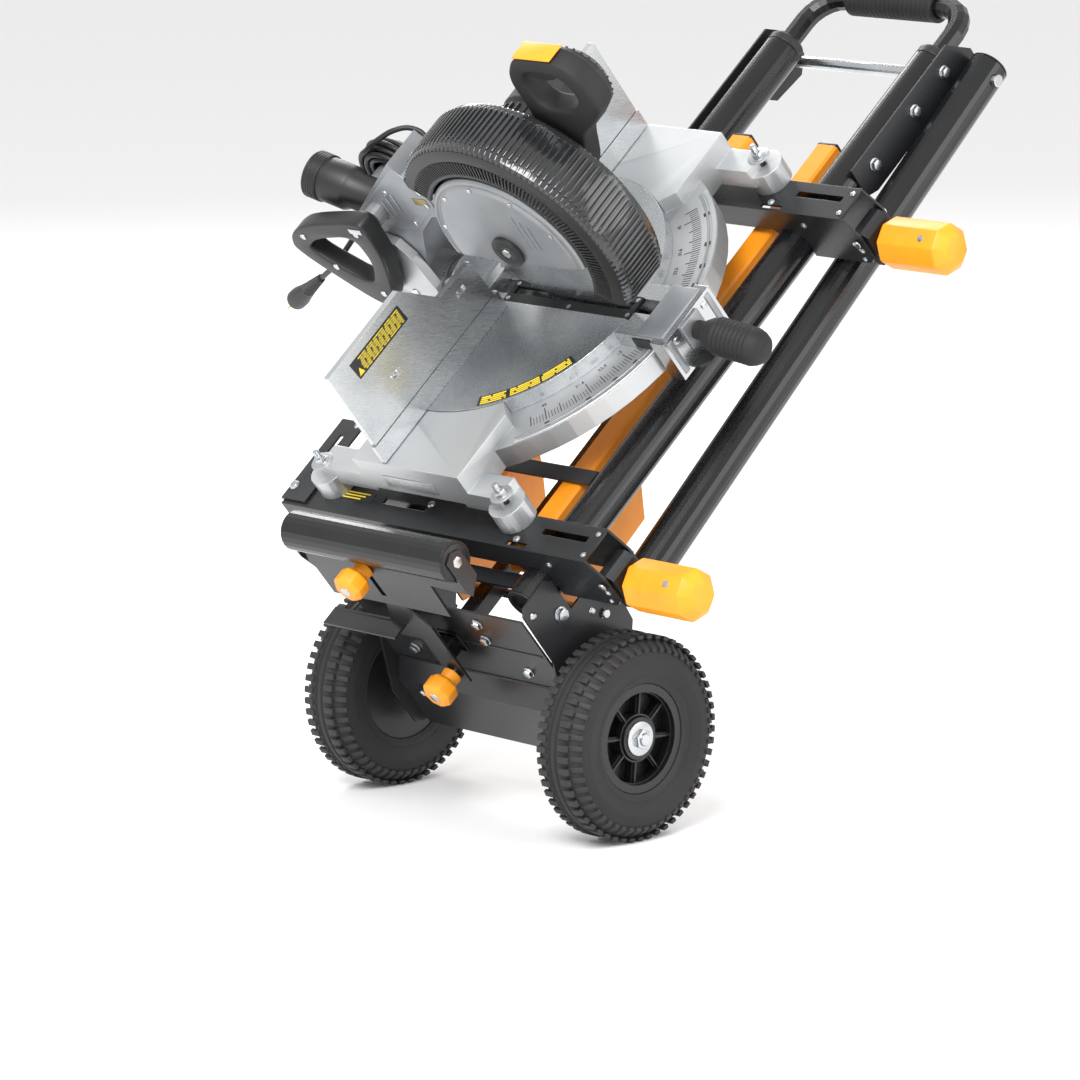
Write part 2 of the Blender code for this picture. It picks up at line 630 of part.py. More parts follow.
def make_fences():
    low = TABLE_TOP + GAP + 1
    fence = block("fence_base", (SAW_X - 8, SAW_Y - 293, low), (SAW_X, SAW_Y - 26, 340))
    join(fence, block("fence_base_right", (SAW_X - 8, SAW_Y + 26, low), (SAW_X, SAW_Y + 293, 340)),
         block("fence_bow", (SAW_X - 46, SAW_Y - 56, low), (SAW_X - 30, SAW_Y + 56, 330)),
         block("bow_left", (SAW_X - 46, SAW_Y - 56, low), (SAW_X - 4, SAW_Y - 40, 330)),
         block("bow_right", (SAW_X - 46, SAW_Y + 40, low), (SAW_X - 4, SAW_Y + 56, 330)))
    finish(fence, "polished_aluminium")
    for name, sign in (("left", -1), ("right", 1)):
        outline = [(-32, 340.5), (-36, 401), (-98, 403), (-142, 459), (-290, 459), (-290, 340.5)]
        placed = [(SAW_Y - sign * y, z) for y, z in outline]
        slots = [[(SAW_Y - sign * (y + a), z + b) for a, b in ((-9, -4), (9, -4), (9, 4), (-9, 4))]
                 for y, z in ((-70, 384), (-210, 384))]
        fence = slab(f"sliding_fence_{name}", "X", SAW_X - 9, SAW_X, placed, *slots)
        finish(fence, "polished_aluminium", (SAW_X, SAW_Y + sign * 160, 400))


def make_mitre_lock():
    tilt = math.radians(12)
    start = Vector((202.3, SAW_Y, 291))
    along = Vector((math.cos(tilt), 0, -math.sin(tilt)))
    grip = turned("mitre_lock_grip", start + along * 6, along,
                  [(0.0, 104), (12, 103), (21, 94), (24, 60), (21, 24), (12, 8), (12, 0), (0.0, 0)],
                  steps=24)
    finish(grip, "black_plastic", start)
    lever = slab("detent_lever", "Z", 254, 258,
                 [(202.3, SAW_Y - 30), (214, SAW_Y - 30), (226, SAW_Y - 20), (226, SAW_Y + 20),
                  (214, SAW_Y + 30), (202.3, SAW_Y + 30)])
    finish(lever, "black_plastic", (206, SAW_Y, 256))


def make_bevel_housing():
    pivot = (-177, SAW_Y, TABLE_TOP)
    housing = rod("bevel_housing", (-278, SAW_Y, TABLE_TOP), (-176.5, SAW_Y, TABLE_TOP), 44, sides=32)
    join(housing, block("fork_block", (-270, SAW_Y - 44, TABLE_TOP), (-178, SAW_Y + 44, 350)),
         rod("bevel_pin", (-184, SAW_Y, TABLE_TOP), (-164, SAW_Y, TABLE_TOP), 8, sides=16))
    for sign in (-1, 1):
        low, high = sorted((SAW_Y + sign * 31.5, SAW_Y + sign * 44))
        cheek = [(-270, 340), (-262, 400), (-246, 424), (-222, 431), (-200, 424), (-186, 400),
                 (-178, 340)]
        join(housing, slab(f"fork_cheek_{sign}", "Y", low, high, cheek))
    x, z = HEAD_PIVOT
    cut(housing, rod("pivot_bore", (x, SAW_Y - 60, z), (x, SAW_Y + 60, z), 9 + GAP + 0.2, sides=16))
    finish(housing, "cast_aluminium", pivot)


def make_head_casting():
    x, z = ARBOR
    px, pz = HEAD_PIVOT
    arm = [(-290, 432), (-130, 560), (-118, 541), (-60, 505), (-60, 478), (-112, 470), (-150, 440), (-188, 373),
           (-248, 373), (-266, 405)]
    casting = slab("head_casting", "Y", SAW_Y - 30, SAW_Y + 30, arm)
    drum = rod("gear_drum", (x, SAW_Y - 34, z), (x, SAW_Y + 34, z), 112, sides=48)
    join(casting, drum, rod("head_pivot_pin", (px, SAW_Y - 47, pz), (px, SAW_Y + 47, pz), 9, sides=16),
         rod("cord_post", (COIL[0], SAW_Y + 26, COIL[2]), (COIL[0], SAW_Y + 81, COIL[2]), 20, sides=20),
         rod("cord_post_rim", (COIL[0], SAW_Y + 79, COIL[2]), (COIL[0], SAW_Y + 84, COIL[2]), 34,
             sides=20),
         rod("handle_boss", (-205, SAW_Y - 20, 472), (-205, SAW_Y - 47.2, 472), 14, sides=16))
    port_start, port_end = DUST_PORT
    cut(casting, block("drum_clip", (-120, SAW_Y - 40, z - 130), (200, SAW_Y + 40, z - 24)),
        rod("blade_room", (x, SAW_Y - 6, z), (x, SAW_Y + 6, z), BLADE_RADIUS + 5, sides=48),
        rod("arbor_bore", (x, SAW_Y, z), (x, SAW_Y + 50, z), 8 + GAP + 0.2, sides=16),
        rod("dust_socket", port_start, port_end, 24 + GAP + 0.3, sides=24),
        rod("dust_cap_room", Vector(port_start).lerp(Vector(port_end), 0.44), port_end, 32, sides=24))
    finish(casting, "grey_paint", (px, SAW_Y, pz))


DUST_PORT = ((-228.0, SAW_Y, 448.0), (-342.0, SAW_Y, 490.0))


def make_guard_cover():
    x, z = ARBOR
    outline = arc(x, z, 114, -11, 191, 30)
    cover = slab("guard_side_cover", "Y", SAW_Y - 50, SAW_Y - 34 - GAP, outline)
    join(cover, rod("cover_boss", (x, SAW_Y - 57, z), (x, SAW_Y - 40, z), 23, sides=20))
    finish(cover, "grey_paint", (HEAD_PIVOT[0], SAW_Y, HEAD_PIVOT[1]))


def make_blade():
    x, z = ARBOR
    centre = (x, SAW_Y, z)
    teeth = []
    count = 40
    for n in range(count):
        turn = 2 * math.pi * n / count
        for radius, lead in ((BLADE_RADIUS - 8, 0.02), (BLADE_RADIUS, 0.04)):
            teeth.append((x + radius * math.cos(turn + lead), z + radius * math.sin(turn + lead)))
    blade = slab("saw_blade", "Y", SAW_Y - 1.2, SAW_Y + 1.2, teeth, circle(x, z, 8.5, 12))
    finish(blade, "blade_steel", centre)
    arbor = turned("arbor", (x, SAW_Y - 5.5, z), (0, 1, 0),
                   [(0.0, 38), (8, 38), (8, 10.5), (22, 10.5), (22, 7), (8, 7), (8, 4), (22, 4),
                    (22, 0), (0.0, 0)], steps=20)
    finish(arbor, "zinc_steel", centre)


def make_lower_guard():
    x, z = ARBOR
    inner, outer, half, wall = 117.0, 166.0, 45.0, 4.0
    section = [(inner, half), (outer, half), (outer, -half), (inner, -half), (inner, wall - half),
               (outer - wall - 1, wall - half), (outer - wall - 1, half - wall), (inner, half - wall)]
    guard = turned("lower_guard", (x, SAW_Y, z), (0, -1, 0), section, steps=36, angle=179,
                   start=GUARD_FRONT)
    finish(close_ends(settle(guard)), "smoked_plastic", (x, SAW_Y, z))


def make_motor():
    x, z = MOTOR_AXIS
    start = SAW_Y + 34 + GAP
    motor = turned("motor_housing", (x, start, z), (0, 1, 0),
                   [(0.0, 160), (36, 160), (48, 150), (52, 130), (52, 60), (48, 56), (48, 0),
                    (0.0, 0)], steps=32)
    finish(motor, "black_plastic", (HEAD_PIVOT[0], SAW_Y, HEAD_PIVOT[1]))


def make_main_handle():
    low, high = SAW_Y + 48, SAW_Y + 80
    outline = [(72, 486), (100, 478), (122, 500), (150, 560), (190, 586), (216, 612), (208, 660),
               (178, 684), (110, 684), (82, 650), (84, 600), (76, 540)]
    hole = [(112, 604), (160, 602), (186, 622), (180, 652), (164, 662), (118, 662), (104, 640)]
    handle = slab("main_handle", "Y", low, high, outline, hole)
    join(handle, rod("handle_root", (94, SAW_Y + 34 + GAP, 500), (94, low + 6, 500), 13, sides=16))
    cut(handle, block("trigger_pocket", (119, low + 6, 650), (164, high - 6, 668)))
    head = (HEAD_PIVOT[0], SAW_Y, HEAD_PIVOT[1])
    finish(handle, "black_plastic", head)
    trigger = slab("trigger", "Y", low + 8, high - 8,
                   [(122, 661.6), (122, 650), (134, 644), (156, 648), (160, 661.6)])
    finish(trigger, "black_plastic", (124, SAW_Y + 64, 660))


def make_dust_port():
    start, end = (Vector(p) for p in DUST_PORT)
    along = (end - start).normalized()
    port = turned("dust_port", start + along * GAP, along,
                  [(21, 118), (31, 118), (31, 97), (29, 97), (29, 60), (24, 52), (24, 0),
                   (21, 0)][::-1], steps=24)
    finish(port, "black_plastic", (HEAD_PIVOT[0], SAW_Y, HEAD_PIVOT[1]))


def make_carry_handle():
    outer = [(-364, 424), (-352, 452), (-312, 474), (-200, 492), (-192, 470), (-196, 420),
             (-232, 345), (-262, 336)]
    inner = [(-336, 428), (-304, 450), (-226, 463), (-222, 418), (-250, 372)]
    handle = slab("rear_carry_handle", "Y", SAW_Y - 74, SAW_Y - 47.5, outer, inner)
    finish(handle, "black_plastic", (HEAD_PIVOT[0], SAW_Y, HEAD_PIVOT[1]))


COIL = (-276.0, SAW_Y + 47.5, 440.0)   # near face of the coil, its axis along Y
COIL_INNER, COIL_OUTER, COIL_WIDE = 26.0, 50.0, 30.5


def make_cord():
    head = (HEAD_PIVOT[0], SAW_Y, HEAD_PIVOT[1])
    x, y, z = COIL
    coil = turned("cord_coil", COIL, (0, 1, 0),
                  [(COIL_INNER, COIL_WIDE), (COIL_OUTER, COIL_WIDE), (COIL_OUTER, 0),
                   (COIL_INNER, 0)][::-1], steps=24)
    finish(coil, "cord_rubber", head)
    gland_start = Vector((-200.0, SAW_Y + 30 + GAP, 478.0))
    gland_end = gland_start + Vector((0, 30, 0))
    finish(rod("cord_gland", gland_start, gland_end, 9, 5, sides=12), "black_plastic", head)
    finish(tube("cord_from_saw", smooth_path(CORD_START, 16), CORD_RADIUS, 2), "cord_rubber", head)
    finish(tube("cord_to_plug", smooth_path(CORD_END, 16), CORD_RADIUS, 2), "cord_rubber", head)

    tip = Vector(CORD_END[-1])
    along = (tip - Vector(CORD_END[-2])).normalized()
    plug = turned("cord_plug", tip + along * GAP, along,
                  [(0.0, 112), (13, 112), (15, 110), (15, 84), (13, 72), (9, 60), (5.2, 0), (0.0, 0)],
                  steps=16)
    plug = settle(plug)
    side = along.cross(Vector((0, 0, 1))).normalized() * 6.4
    for n, shift in enumerate((side, -side)):
        root = tip + along * 108 + shift
        join(plug, rod(f"prong_{n}", root, root + along * 22, 2.6, sides=8))
    finish(plug, "cord_rubber", head)


CORD_START = [(-200, SAW_Y + 60.9, 478), (-200, SAW_Y + 71, 478), (-203, SAW_Y + 80, 482),
              (-213, SAW_Y + 86, 491), (-228, SAW_Y + 82, 501), (-243, SAW_Y + 70, 505),
              (-256, SAW_Y + 59, 500.5), (-266.4, SAW_Y + 51.9, 493.4)]
CORD_END = [(-324.6, SAW_Y + 74, 417.2), (-330, SAW_Y + 72, 407), (-335, SAW_Y + 60, 398),
            (-340, SAW_Y + 40, 389), (-344, SAW_Y + 15, 381), (-350, SAW_Y - 10, 373),
            (-358, SAW_Y - 30, 365), (-371, SAW_Y - 39, 355.5), (-388, SAW_Y - 40, 345),
            (-407, SAW_Y - 40, 333.5)]


def set_on_wheels():
    # Tips the stand back and puts the origin under the middle of the whole part.
    root = bpy.data.objects.new("ground_point", None)
    stand = bpy.data.objects.new("stand_frame", None)
    for empty in (root, stand):
        parts.objects.link(empty)
    stand.parent = root
    stand.rotation_euler = (math.radians(TILT), 0, 0)
    stand.location = (0, 0, WHEEL_RADIUS * MM)
    pieces = [obj for obj in parts.objects if obj.type == "MESH"]
    fixed = [obj for obj in pieces if not obj.name.startswith("cord_")]
    for obj in pieces + list(cutters.objects):
        obj.parent = stand
    bpy.context.view_layer.update()
    # the power cord hangs outside this box
    corners = [obj.matrix_world @ v.co for obj in fixed for v in obj.data.vertices]
    for axis in (0, 1):
        values = [c[axis] for c in corners]
        root.location[axis] = -(min(values) + max(values)) / 2
    root.location[2] = -min(c[2] for c in corners)
    bpy.context.view_layer.update()


def build():
    make_axle()
    for side_name, side in SIDES:
        make_wheel(side_name, side)
        make_wheel_plate(side_name, side)
        make_handle_plate(side_name, side)
        make_rail(side_name, side)
    make_wheel_end_panel()
    make_ties()
    make_pull_handle()
    for name, y in (("lower", LOWER_BAR_Y), ("upper", UPPER_BAR_Y)):
        make_bar(f"{name}_cross_bar", y)
        make_lever(name, y)
    make_bar_plate("lower_bar_plate", 78, 214, 122)
    make_bar_plate("upper_bar_plate", 552, 688, 578)
    make_outer_legs()
    make_inner_legs()
    make_support()
    make_roller_plate()
    make_knob("roller_height_knob", *KNOB_HIGH, -27)
    make_knob("arm_lock_knob", *KNOB_LOW, -27)
    make_saw_base()
    make_turntable()
    make_fences()
    make_mitre_lock()
    make_bevel_housing()
    make_head_casting()
    make_guard_cover()
    make_blade()
    make_lower_guard()
    make_motor()
    make_main_handle()
    make_dust_port()
    make_carry_handle()
    make_cord()
    set_on_wheels()


build()
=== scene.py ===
import json
import math
import bmesh
import bpy
from mathutils import Matrix, Vector


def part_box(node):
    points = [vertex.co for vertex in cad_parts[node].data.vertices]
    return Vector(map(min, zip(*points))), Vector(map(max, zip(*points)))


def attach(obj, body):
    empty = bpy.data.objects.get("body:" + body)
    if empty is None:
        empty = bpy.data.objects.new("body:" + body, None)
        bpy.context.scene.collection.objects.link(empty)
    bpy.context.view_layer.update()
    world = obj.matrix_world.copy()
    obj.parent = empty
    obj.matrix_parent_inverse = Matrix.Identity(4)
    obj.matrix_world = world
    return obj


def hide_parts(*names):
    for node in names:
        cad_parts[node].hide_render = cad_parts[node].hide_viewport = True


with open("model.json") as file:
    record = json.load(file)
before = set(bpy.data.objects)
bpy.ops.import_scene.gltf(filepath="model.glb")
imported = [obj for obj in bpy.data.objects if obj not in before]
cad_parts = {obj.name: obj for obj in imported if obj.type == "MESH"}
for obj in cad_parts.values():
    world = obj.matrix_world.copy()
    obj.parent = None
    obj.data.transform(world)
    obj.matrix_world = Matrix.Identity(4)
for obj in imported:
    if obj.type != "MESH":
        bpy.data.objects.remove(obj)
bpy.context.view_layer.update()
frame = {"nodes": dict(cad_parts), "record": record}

print("frame loaded")

# The stand's own frame, in millimetres: x along the axle to the saw's front,
# y along the rails to the pull handle, z square to the rails. Its origin is the axle's middle.
stand = {"tilt": 40.3}
axleLow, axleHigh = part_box("axle")
axleCentre = (axleLow + axleHigh) / 2
standFrame = (Matrix.Translation(axleCentre) @ Matrix.Rotation(math.radians(stand["tilt"]), 4, "X")
              @ Matrix.Scale(0.001, 4))
saw = {"x": -88.0, "y": 402.0}  # middle of the turntable
sawX, sawY = saw["x"], saw["y"]
barStarts = {"lower": 72.0, "upper": 641.0}  # first edge of each cross bar along the rails
bar = {"top": 240.0, "depth": 53.0}
front, rear = (1, 0, 0), (-1, 0, 0)
toWheels, toHandle = (0, -1, 0), (0, 1, 0)
up = (0, 0, 1)
tableSlots = {row["node"]: row["material_slot"] for row in frame["record"]["subparts"]}


def place(x, y, z):
    return standFrame @ Vector((x, y, z))


# camera, at the height of a standing person some way off
camera = {"yaw": 43.63, "pitch": 10.65, "lens": 178.8, "offset": (4.694, -4.419, 1.550)}


def makeCamera():
    data = bpy.data.cameras.new("studioCamera")
    data.lens = camera["lens"]
    data.sensor_width = 36
    data.clip_end = 60
    seat = bpy.data.objects.new("studioCamera", data)
    bpy.context.scene.collection.objects.link(seat)
    yaw, pitch = math.radians(camera["yaw"]), math.radians(camera["pitch"])
    heading = Vector((-math.cos(yaw) * math.cos(pitch), math.sin(yaw) * math.cos(pitch), -math.sin(pitch)))
    ground = Vector((axleCentre.x, axleCentre.y, axleCentre.z - 0.127))
    seat.location = ground + Vector(camera["offset"])
    seat.rotation_euler = heading.to_track_quat("-Z", "Y").to_euler()
    bpy.context.scene.camera = seat


makeCamera()
print("camera set")


# finishes

def linear(hexText):
    values = []
    for k in (0, 2, 4):
        s = int(hexText[k:k + 2], 16) / 255
        values.append(s / 12.92 if s <= 0.04045 else ((s + 0.055) / 1.055) ** 2.4)
    return (*values, 1.0)


def addNode(tree, kind, sockets=None, **settings):
    made = tree.nodes.new(kind)
    for name, value in settings.items():
        setattr(made, name, value)
    for name, value in (sockets or {}).items():
        if isinstance(value, bpy.types.NodeSocket):
            tree.links.new(value, made.inputs[name])
        else:
            made.inputs[name].default_value = value
    return made


def startFinish(name, metallic, coat=0.0, ior=None):
    finish = bpy.data.materials.new(name)
    finish.use_nodes = True
    shader = finish.node_tree.nodes["Principled BSDF"]
    shader.inputs["Metallic"].default_value = metallic
    shader.inputs["Coat Weight"].default_value = coat
    shader.inputs["Coat Roughness"].default_value = 0.15
    if ior:
        shader.inputs["IOR"].default_value = ior
    return finish, finish.node_tree, shader


def grainFinish(name, colours, rough, grainMm, height, metallic=0.0, coat=0.0, ior=None,
                stretch=(1, 1, 1), turn=(0, 0, 0), patchMm=60.0, edgeMm=0.8, edgeHighlight=None):
    # two close colours in soft patches, a fine grain in the gloss and the bump, rounded edges
    finish, tree, shader = startFinish(name, metallic, coat, ior)
    spot = addNode(tree, "ShaderNodeTexCoord").outputs["Object"]
    mapped = addNode(tree, "ShaderNodeMapping", {"Vector": spot, "Scale": stretch, "Rotation": turn})
    patches = addNode(tree, "ShaderNodeTexNoise", {"Vector": spot, "Scale": 1000 / patchMm, "Detail": 3.0})
    grain = addNode(tree, "ShaderNodeTexNoise",
                    {"Vector": mapped.outputs["Vector"], "Scale": 1000 / grainMm, "Detail": 4.0,
                     "Roughness": 0.6})
    ramp = addNode(tree, "ShaderNodeValToRGB", {"Fac": patches.outputs["Fac"]})
    ramp.color_ramp.elements[0].position = 0.3
    ramp.color_ramp.elements[1].position = 0.7
    ramp.color_ramp.elements[0].color = linear(colours[0])
    ramp.color_ramp.elements[1].color = linear(colours[1])
    colour = ramp.outputs["Color"]
    if edgeHighlight:
        # painted highlight: sharp convex edges, found by pointiness, are mixed towards a lighter colour
        geometry = addNode(tree, "ShaderNodeNewGeometry")
        edgeHighlightMask = addNode(tree, "ShaderNodeMapRange", {"Value": geometry.outputs["Pointiness"],
                                                    "From Min": 0.52, "From Max": 0.6})
        edgeHighlightMix = addNode(tree, "ShaderNodeMix", {"Factor": edgeHighlightMask.outputs["Result"]}, data_type="RGBA")
        tree.links.new(colour, edgeHighlightMix.inputs[6])
        edgeHighlightMix.inputs[7].default_value = linear(edgeHighlight)
        colour = edgeHighlightMix.outputs[2]
    tree.links.new(colour, shader.inputs["Base Color"])
    gloss = addNode(tree, "ShaderNodeMapRange", {"Value": grain.outputs["Fac"], "From Min": 0.3,
                                                 "From Max": 0.7, "To Min": rough[0], "To Max": rough[1]})
    tree.links.new(gloss.outputs["Result"], shader.inputs["Roughness"])
    rounded = addNode(tree, "ShaderNodeBevel", {"Radius": edgeMm / 1000}, samples=4)
    bump = addNode(tree, "ShaderNodeBump", {"Height": grain.outputs["Fac"], "Strength": 0.6,
                                            "Distance": height / 1000, "Normal": rounded.outputs["Normal"]})
    tree.links.new(bump.outputs["Normal"], shader.inputs["Normal"])
    return finish


tiltTurn = (-math.radians(stand["tilt"]), 0, 0)
finishes = {
    # polyester powder on steel: deep black with a fine orange peel and a broad sheen; its edges carry a
    # painted highlight
    "powderCoatedSteel": grainFinish("powderCoatedSteel", ("0b0c0e", "121315"), (0.26, 0.36), 1.6, 0.05,
                                     ior=1.5, edgeMm=0.7, edgeHighlight="242527"),
    # the same powder on drawn tube: a little glossier, so the long highlights stay clean
    "powderCoatedTube": grainFinish("powderCoatedTube", ("0a0b0d", "111214"), (0.22, 0.31), 1.4, 0.03,
                                    ior=1.5, edgeMm=0.8),
    # orange gloss enamel on steel tube
    "orangeEnamel": grainFinish("orangeEnamel", ("ef8a12", "f79a1c"), (0.28, 0.36), 2.0, 0.03, ior=1.5),
    # moulded polypropylene, satin from a spark-eroded mould
    "orangePolypropylene": grainFinish("orangePolypropylene", ("f5930d", "fca51f"), (0.38, 0.5), 0.9, 0.05,
                                       ior=1.49, edgeMm=1.6),
    # vulcanised tyre rubber: dull, with a greyish bloom; its edges carry a painted highlight
    "tyreRubber": grainFinish("tyreRubber", ("0e0e0f", "161617"), (0.58, 0.74), 1.2, 0.12, ior=1.52,
                              edgeMm=1.0, edgeHighlight="2f2f30"),
    # glass-filled nylon wheel rim, semi-gloss black
    "mouldedNylon": grainFinish("mouldedNylon", ("0c0c0d", "131314"), (0.32, 0.45), 1.0, 0.06, ior=1.53,
                                edgeMm=0.9),
    # soft thermoplastic rubber over the handles
    "softGrip": grainFinish("softGrip", ("121213", "1b1b1c"), (0.6, 0.75), 0.9, 0.1, ior=1.5, edgeMm=1.4),
    # bright zinc plate on fasteners
    "zincPlate": grainFinish("zincPlate", ("b9bcc0", "cfd2d4"), (0.22, 0.36), 1.5, 0.02, metallic=1.0,
                             edgeMm=0.5),
    # die-cast aluminium, shot blasted: matt silver with a sparkling grain; its edges carry a painted
    # highlight
    "blastedCasting": grainFinish("blastedCasting", ("a4a6a8", "b7b9ba"), (0.36, 0.52), 1.1, 0.09,
                                  metallic=0.9, edgeMm=1.6, edgeHighlight="d2d4d5"),
    # machined table, brushed along one way
    "brushedTable": grainFinish("brushedTable", ("c6c9cb", "d6d8d9"), (0.22, 0.3), 0.7, 0.008, metallic=1.0,
                                stretch=(1, 0.03, 1), turn=tiltTurn, edgeMm=1.0),
    # extruded fence, brushed along its length
    "brushedFence": grainFinish("brushedFence", ("c4c7c9", "d8dadb"), (0.24, 0.31), 0.7, 0.006,
                                metallic=1.0, stretch=(1, 0.03, 1), turn=tiltTurn, edgeMm=0.9),
    # silver-grey lacquer on the head casting
    "greyLacquer": grainFinish("greyLacquer", ("85888b", "929598"), (0.34, 0.46), 1.3, 0.05, metallic=0.55,
                               coat=0.15, edgeMm=1.5),
    # ABS mouldings of the motor and the dust port
    "mouldedAbs": grainFinish("mouldedAbs", ("151516", "1d1d1e"), (0.4, 0.52), 1.0, 0.06, ior=1.54,
                              edgeMm=1.4),
    # smoked polycarbonate guard: dark, wet-looking gloss
    "smokedGuard": grainFinish("smokedGuard", ("1a1b1c", "2b2c2e"), (0.07, 0.16), 3.0, 0.02, ior=1.58,
                               coat=0.4, edgeMm=0.8),
    # ground blade steel
    "groundSteel": grainFinish("groundSteel", ("a6a8aa", "c1c3c4"), (0.2, 0.32), 0.8, 0.02, metallic=1.0,
                               edgeMm=0.2),
    # PVC cord sheath
    "pvcSheath": grainFinish("pvcSheath", ("121213", "19191a"), (0.42, 0.52), 0.8, 0.03, ior=1.53,
                             edgeMm=0.6),
    # brass plug pins
    "brassPin": grainFinish("brassPin", ("c9a24a", "dcb95f"), (0.2, 0.3), 1.0, 0.01, metallic=1.0,
                            edgeMm=0.3),
    # printed vinyl: matt black ground
    "blackVinyl": grainFinish("blackVinyl", ("141414", "1b1b1b"), (0.45, 0.55), 0.8, 0.01, ior=1.5,
                              edgeMm=0.1),
    # printed vinyl: yellow bars
    "yellowVinyl": grainFinish("yellowVinyl", ("e3c524", "ecd23a"), (0.42, 0.52), 0.8, 0.01, ior=1.5,
                               edgeMm=0.1),
    # engraved and filled marks on the scale
    "markInk": grainFinish("markInk", ("202122", "2a2b2c"), (0.5, 0.6), 0.8, 0.01, ior=1.5, edgeMm=0.1),
    # small gilt data plate
    "giltPlate": grainFinish("giltPlate", ("8d8154", "a19564"), (0.34, 0.44), 0.8, 0.02, metallic=0.6,
                             edgeMm=0.2),
}
slotFinish = {
    "black_sheet": "powderCoatedSteel", "black_tube": "powderCoatedTube", "orange_paint": "orangeEnamel",
    "orange_plastic": "orangePolypropylene", "tyre_rubber": "tyreRubber", "rim_plastic": "mouldedNylon",
    "zinc_steel": "zincPlate", "cast_aluminium": "blastedCasting", "polished_aluminium": "brushedTable",
    "grey_paint": "greyLacquer", "head_casting": "greyLacquer", "black_plastic": "mouldedAbs",
    "smoked_plastic": "smokedGuard", "blade_steel": "groundSteel", "cord_rubber": "pvcSheath",
}
nodeFinish = {"sliding_fence_left": "brushedFence", "sliding_fence_right": "brushedFence",
              "fence_base": "brushedFence", "pull_handle_grip": "softGrip", "mitre_lock_grip": "softGrip"}
for nodeName, nodeObject in frame["nodes"].items():
    chosen = nodeFinish.get(nodeName) or slotFinish[tableSlots[nodeName]]
    nodeObject.data.materials.clear()
    nodeObject.data.materials.append(finishes[chosen])
print("finishes made:", len(finishes))


# mesh helpers, all in the stand's frame until a piece is finished

def finishPiece(name, bm, finishName, body, replaced=(), angle=35):
    bmesh.ops.transform(bm, matrix=standFrame, verts=bm.verts)
    mesh = bpy.data.meshes.new(name)
    bm.to_mesh(mesh)
    bm.free()
    mesh.shade_smooth()
    mesh.set_sharp_from_angle(angle=math.radians(angle))
    piece = bpy.data.objects.new(name, mesh)
    bpy.context.scene.collection.objects.link(piece)
    mesh.materials.append(finishes[finishName])
    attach(piece, body)
    if replaced:
        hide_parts(*replaced)
    return piece


def aim(start, direction):
    turn = Vector((0, 0, 1)).rotation_difference(Vector(direction)).to_matrix().to_4x4()
    return Matrix.Translation(Vector(start)) @ turn


def addDisc(bm, start, direction, radius, height, sides=32, topRadius=None, edge=0.0):
    # a short cylinder standing on start
    made = bmesh.ops.create_cone(bm, cap_ends=True, segments=sides, radius1=radius,
                                 radius2=radius if topRadius is None else topRadius, depth=height)
    if edge:
        rims = [e for e in {e for v in made["verts"] for e in v.link_edges}
                if e.verts[0].co.z > 0 and e.verts[1].co.z > 0]
        bev = bmesh.ops.bevel(bm, geom=rims, offset=edge, segments=2, profile=0.5, affect="EDGES",
                              material=-1)
        verts = list({v for f in bev["faces"] for v in f.verts} | {v for v in made["verts"] if v.is_valid})
    else:
        verts = made["verts"]
    bmesh.ops.translate(bm, vec=(0, 0, height / 2), verts=verts)
    bmesh.ops.transform(bm, matrix=aim(start, direction), verts=verts)
    return verts


def addBlock(bm, low, high, edge=0.0, turn=None):
    low, high = Vector(low), Vector(high)
    made = bmesh.ops.create_cube(bm, size=1.0)
    verts = made["verts"]
    bmesh.ops.scale(bm, vec=high - low, verts=verts)
    if edge:
        edges = list({e for v in verts for e in v.link_edges})
        bev = bmesh.ops.bevel(bm, geom=edges, offset=edge, segments=2, profile=0.5, affect="EDGES",
                              material=-1)
        verts = list({v for f in bev["faces"] for v in f.verts})
    bmesh.ops.translate(bm, vec=(low + high) / 2, verts=verts)
    if turn:
        bmesh.ops.transform(bm, matrix=turn, verts=verts)
    return verts


def turnedMesh(base, direction, profile, steps=64):
    # profile of (radius, height), closed back on itself unless it starts and ends on the axis
    bm = bmesh.new()
    verts = [bm.verts.new((radius, 0, height)) for radius, height in profile]
    edges = [bm.edges.new(pair) for pair in zip(verts, verts[1:])]
    if profile[0][0] or profile[-1][0]:
        edges.append(bm.edges.new((verts[-1], verts[0])))
    bmesh.ops.spin(bm, geom=verts + edges, cent=(0, 0, 0), axis=(0, 0, 1), angle=2 * math.pi, steps=steps,
                   use_merge=True)
    bmesh.ops.remove_doubles(bm, verts=bm.verts, dist=0.002)
    bmesh.ops.recalc_face_normals(bm, faces=bm.faces)
    bmesh.ops.transform(bm, matrix=aim(base, direction), verts=bm.verts)
    return bm


def absorb(bm, other):
    mesh = bpy.data.meshes.new("passing")
    other.to_mesh(mesh)
    other.free()
    bm.from_mesh(mesh)
    bpy.data.meshes.remove(mesh)


axisFacing = {
    "x": Matrix(((0, 0, 1), (1, 0, 0), (0, 1, 0))).to_4x4(),
    "y": Matrix(((1, 0, 0), (0, 0, -1), (0, 1, 0))).to_4x4(),
    "z": Matrix.Identity(4),
}


def meshOfCurve(curve):
    holder = bpy.data.objects.new(curve.name, curve)
    bpy.context.scene.collection.objects.link(holder)
    bpy.context.view_layer.update()
    mesh = bpy.data.meshes.new_from_object(holder.evaluated_get(bpy.context.evaluated_depsgraph_get()))
    bpy.data.objects.remove(holder)
    bm = bmesh.new()
    bm.from_mesh(mesh)
    bpy.data.meshes.remove(mesh)
    return bm


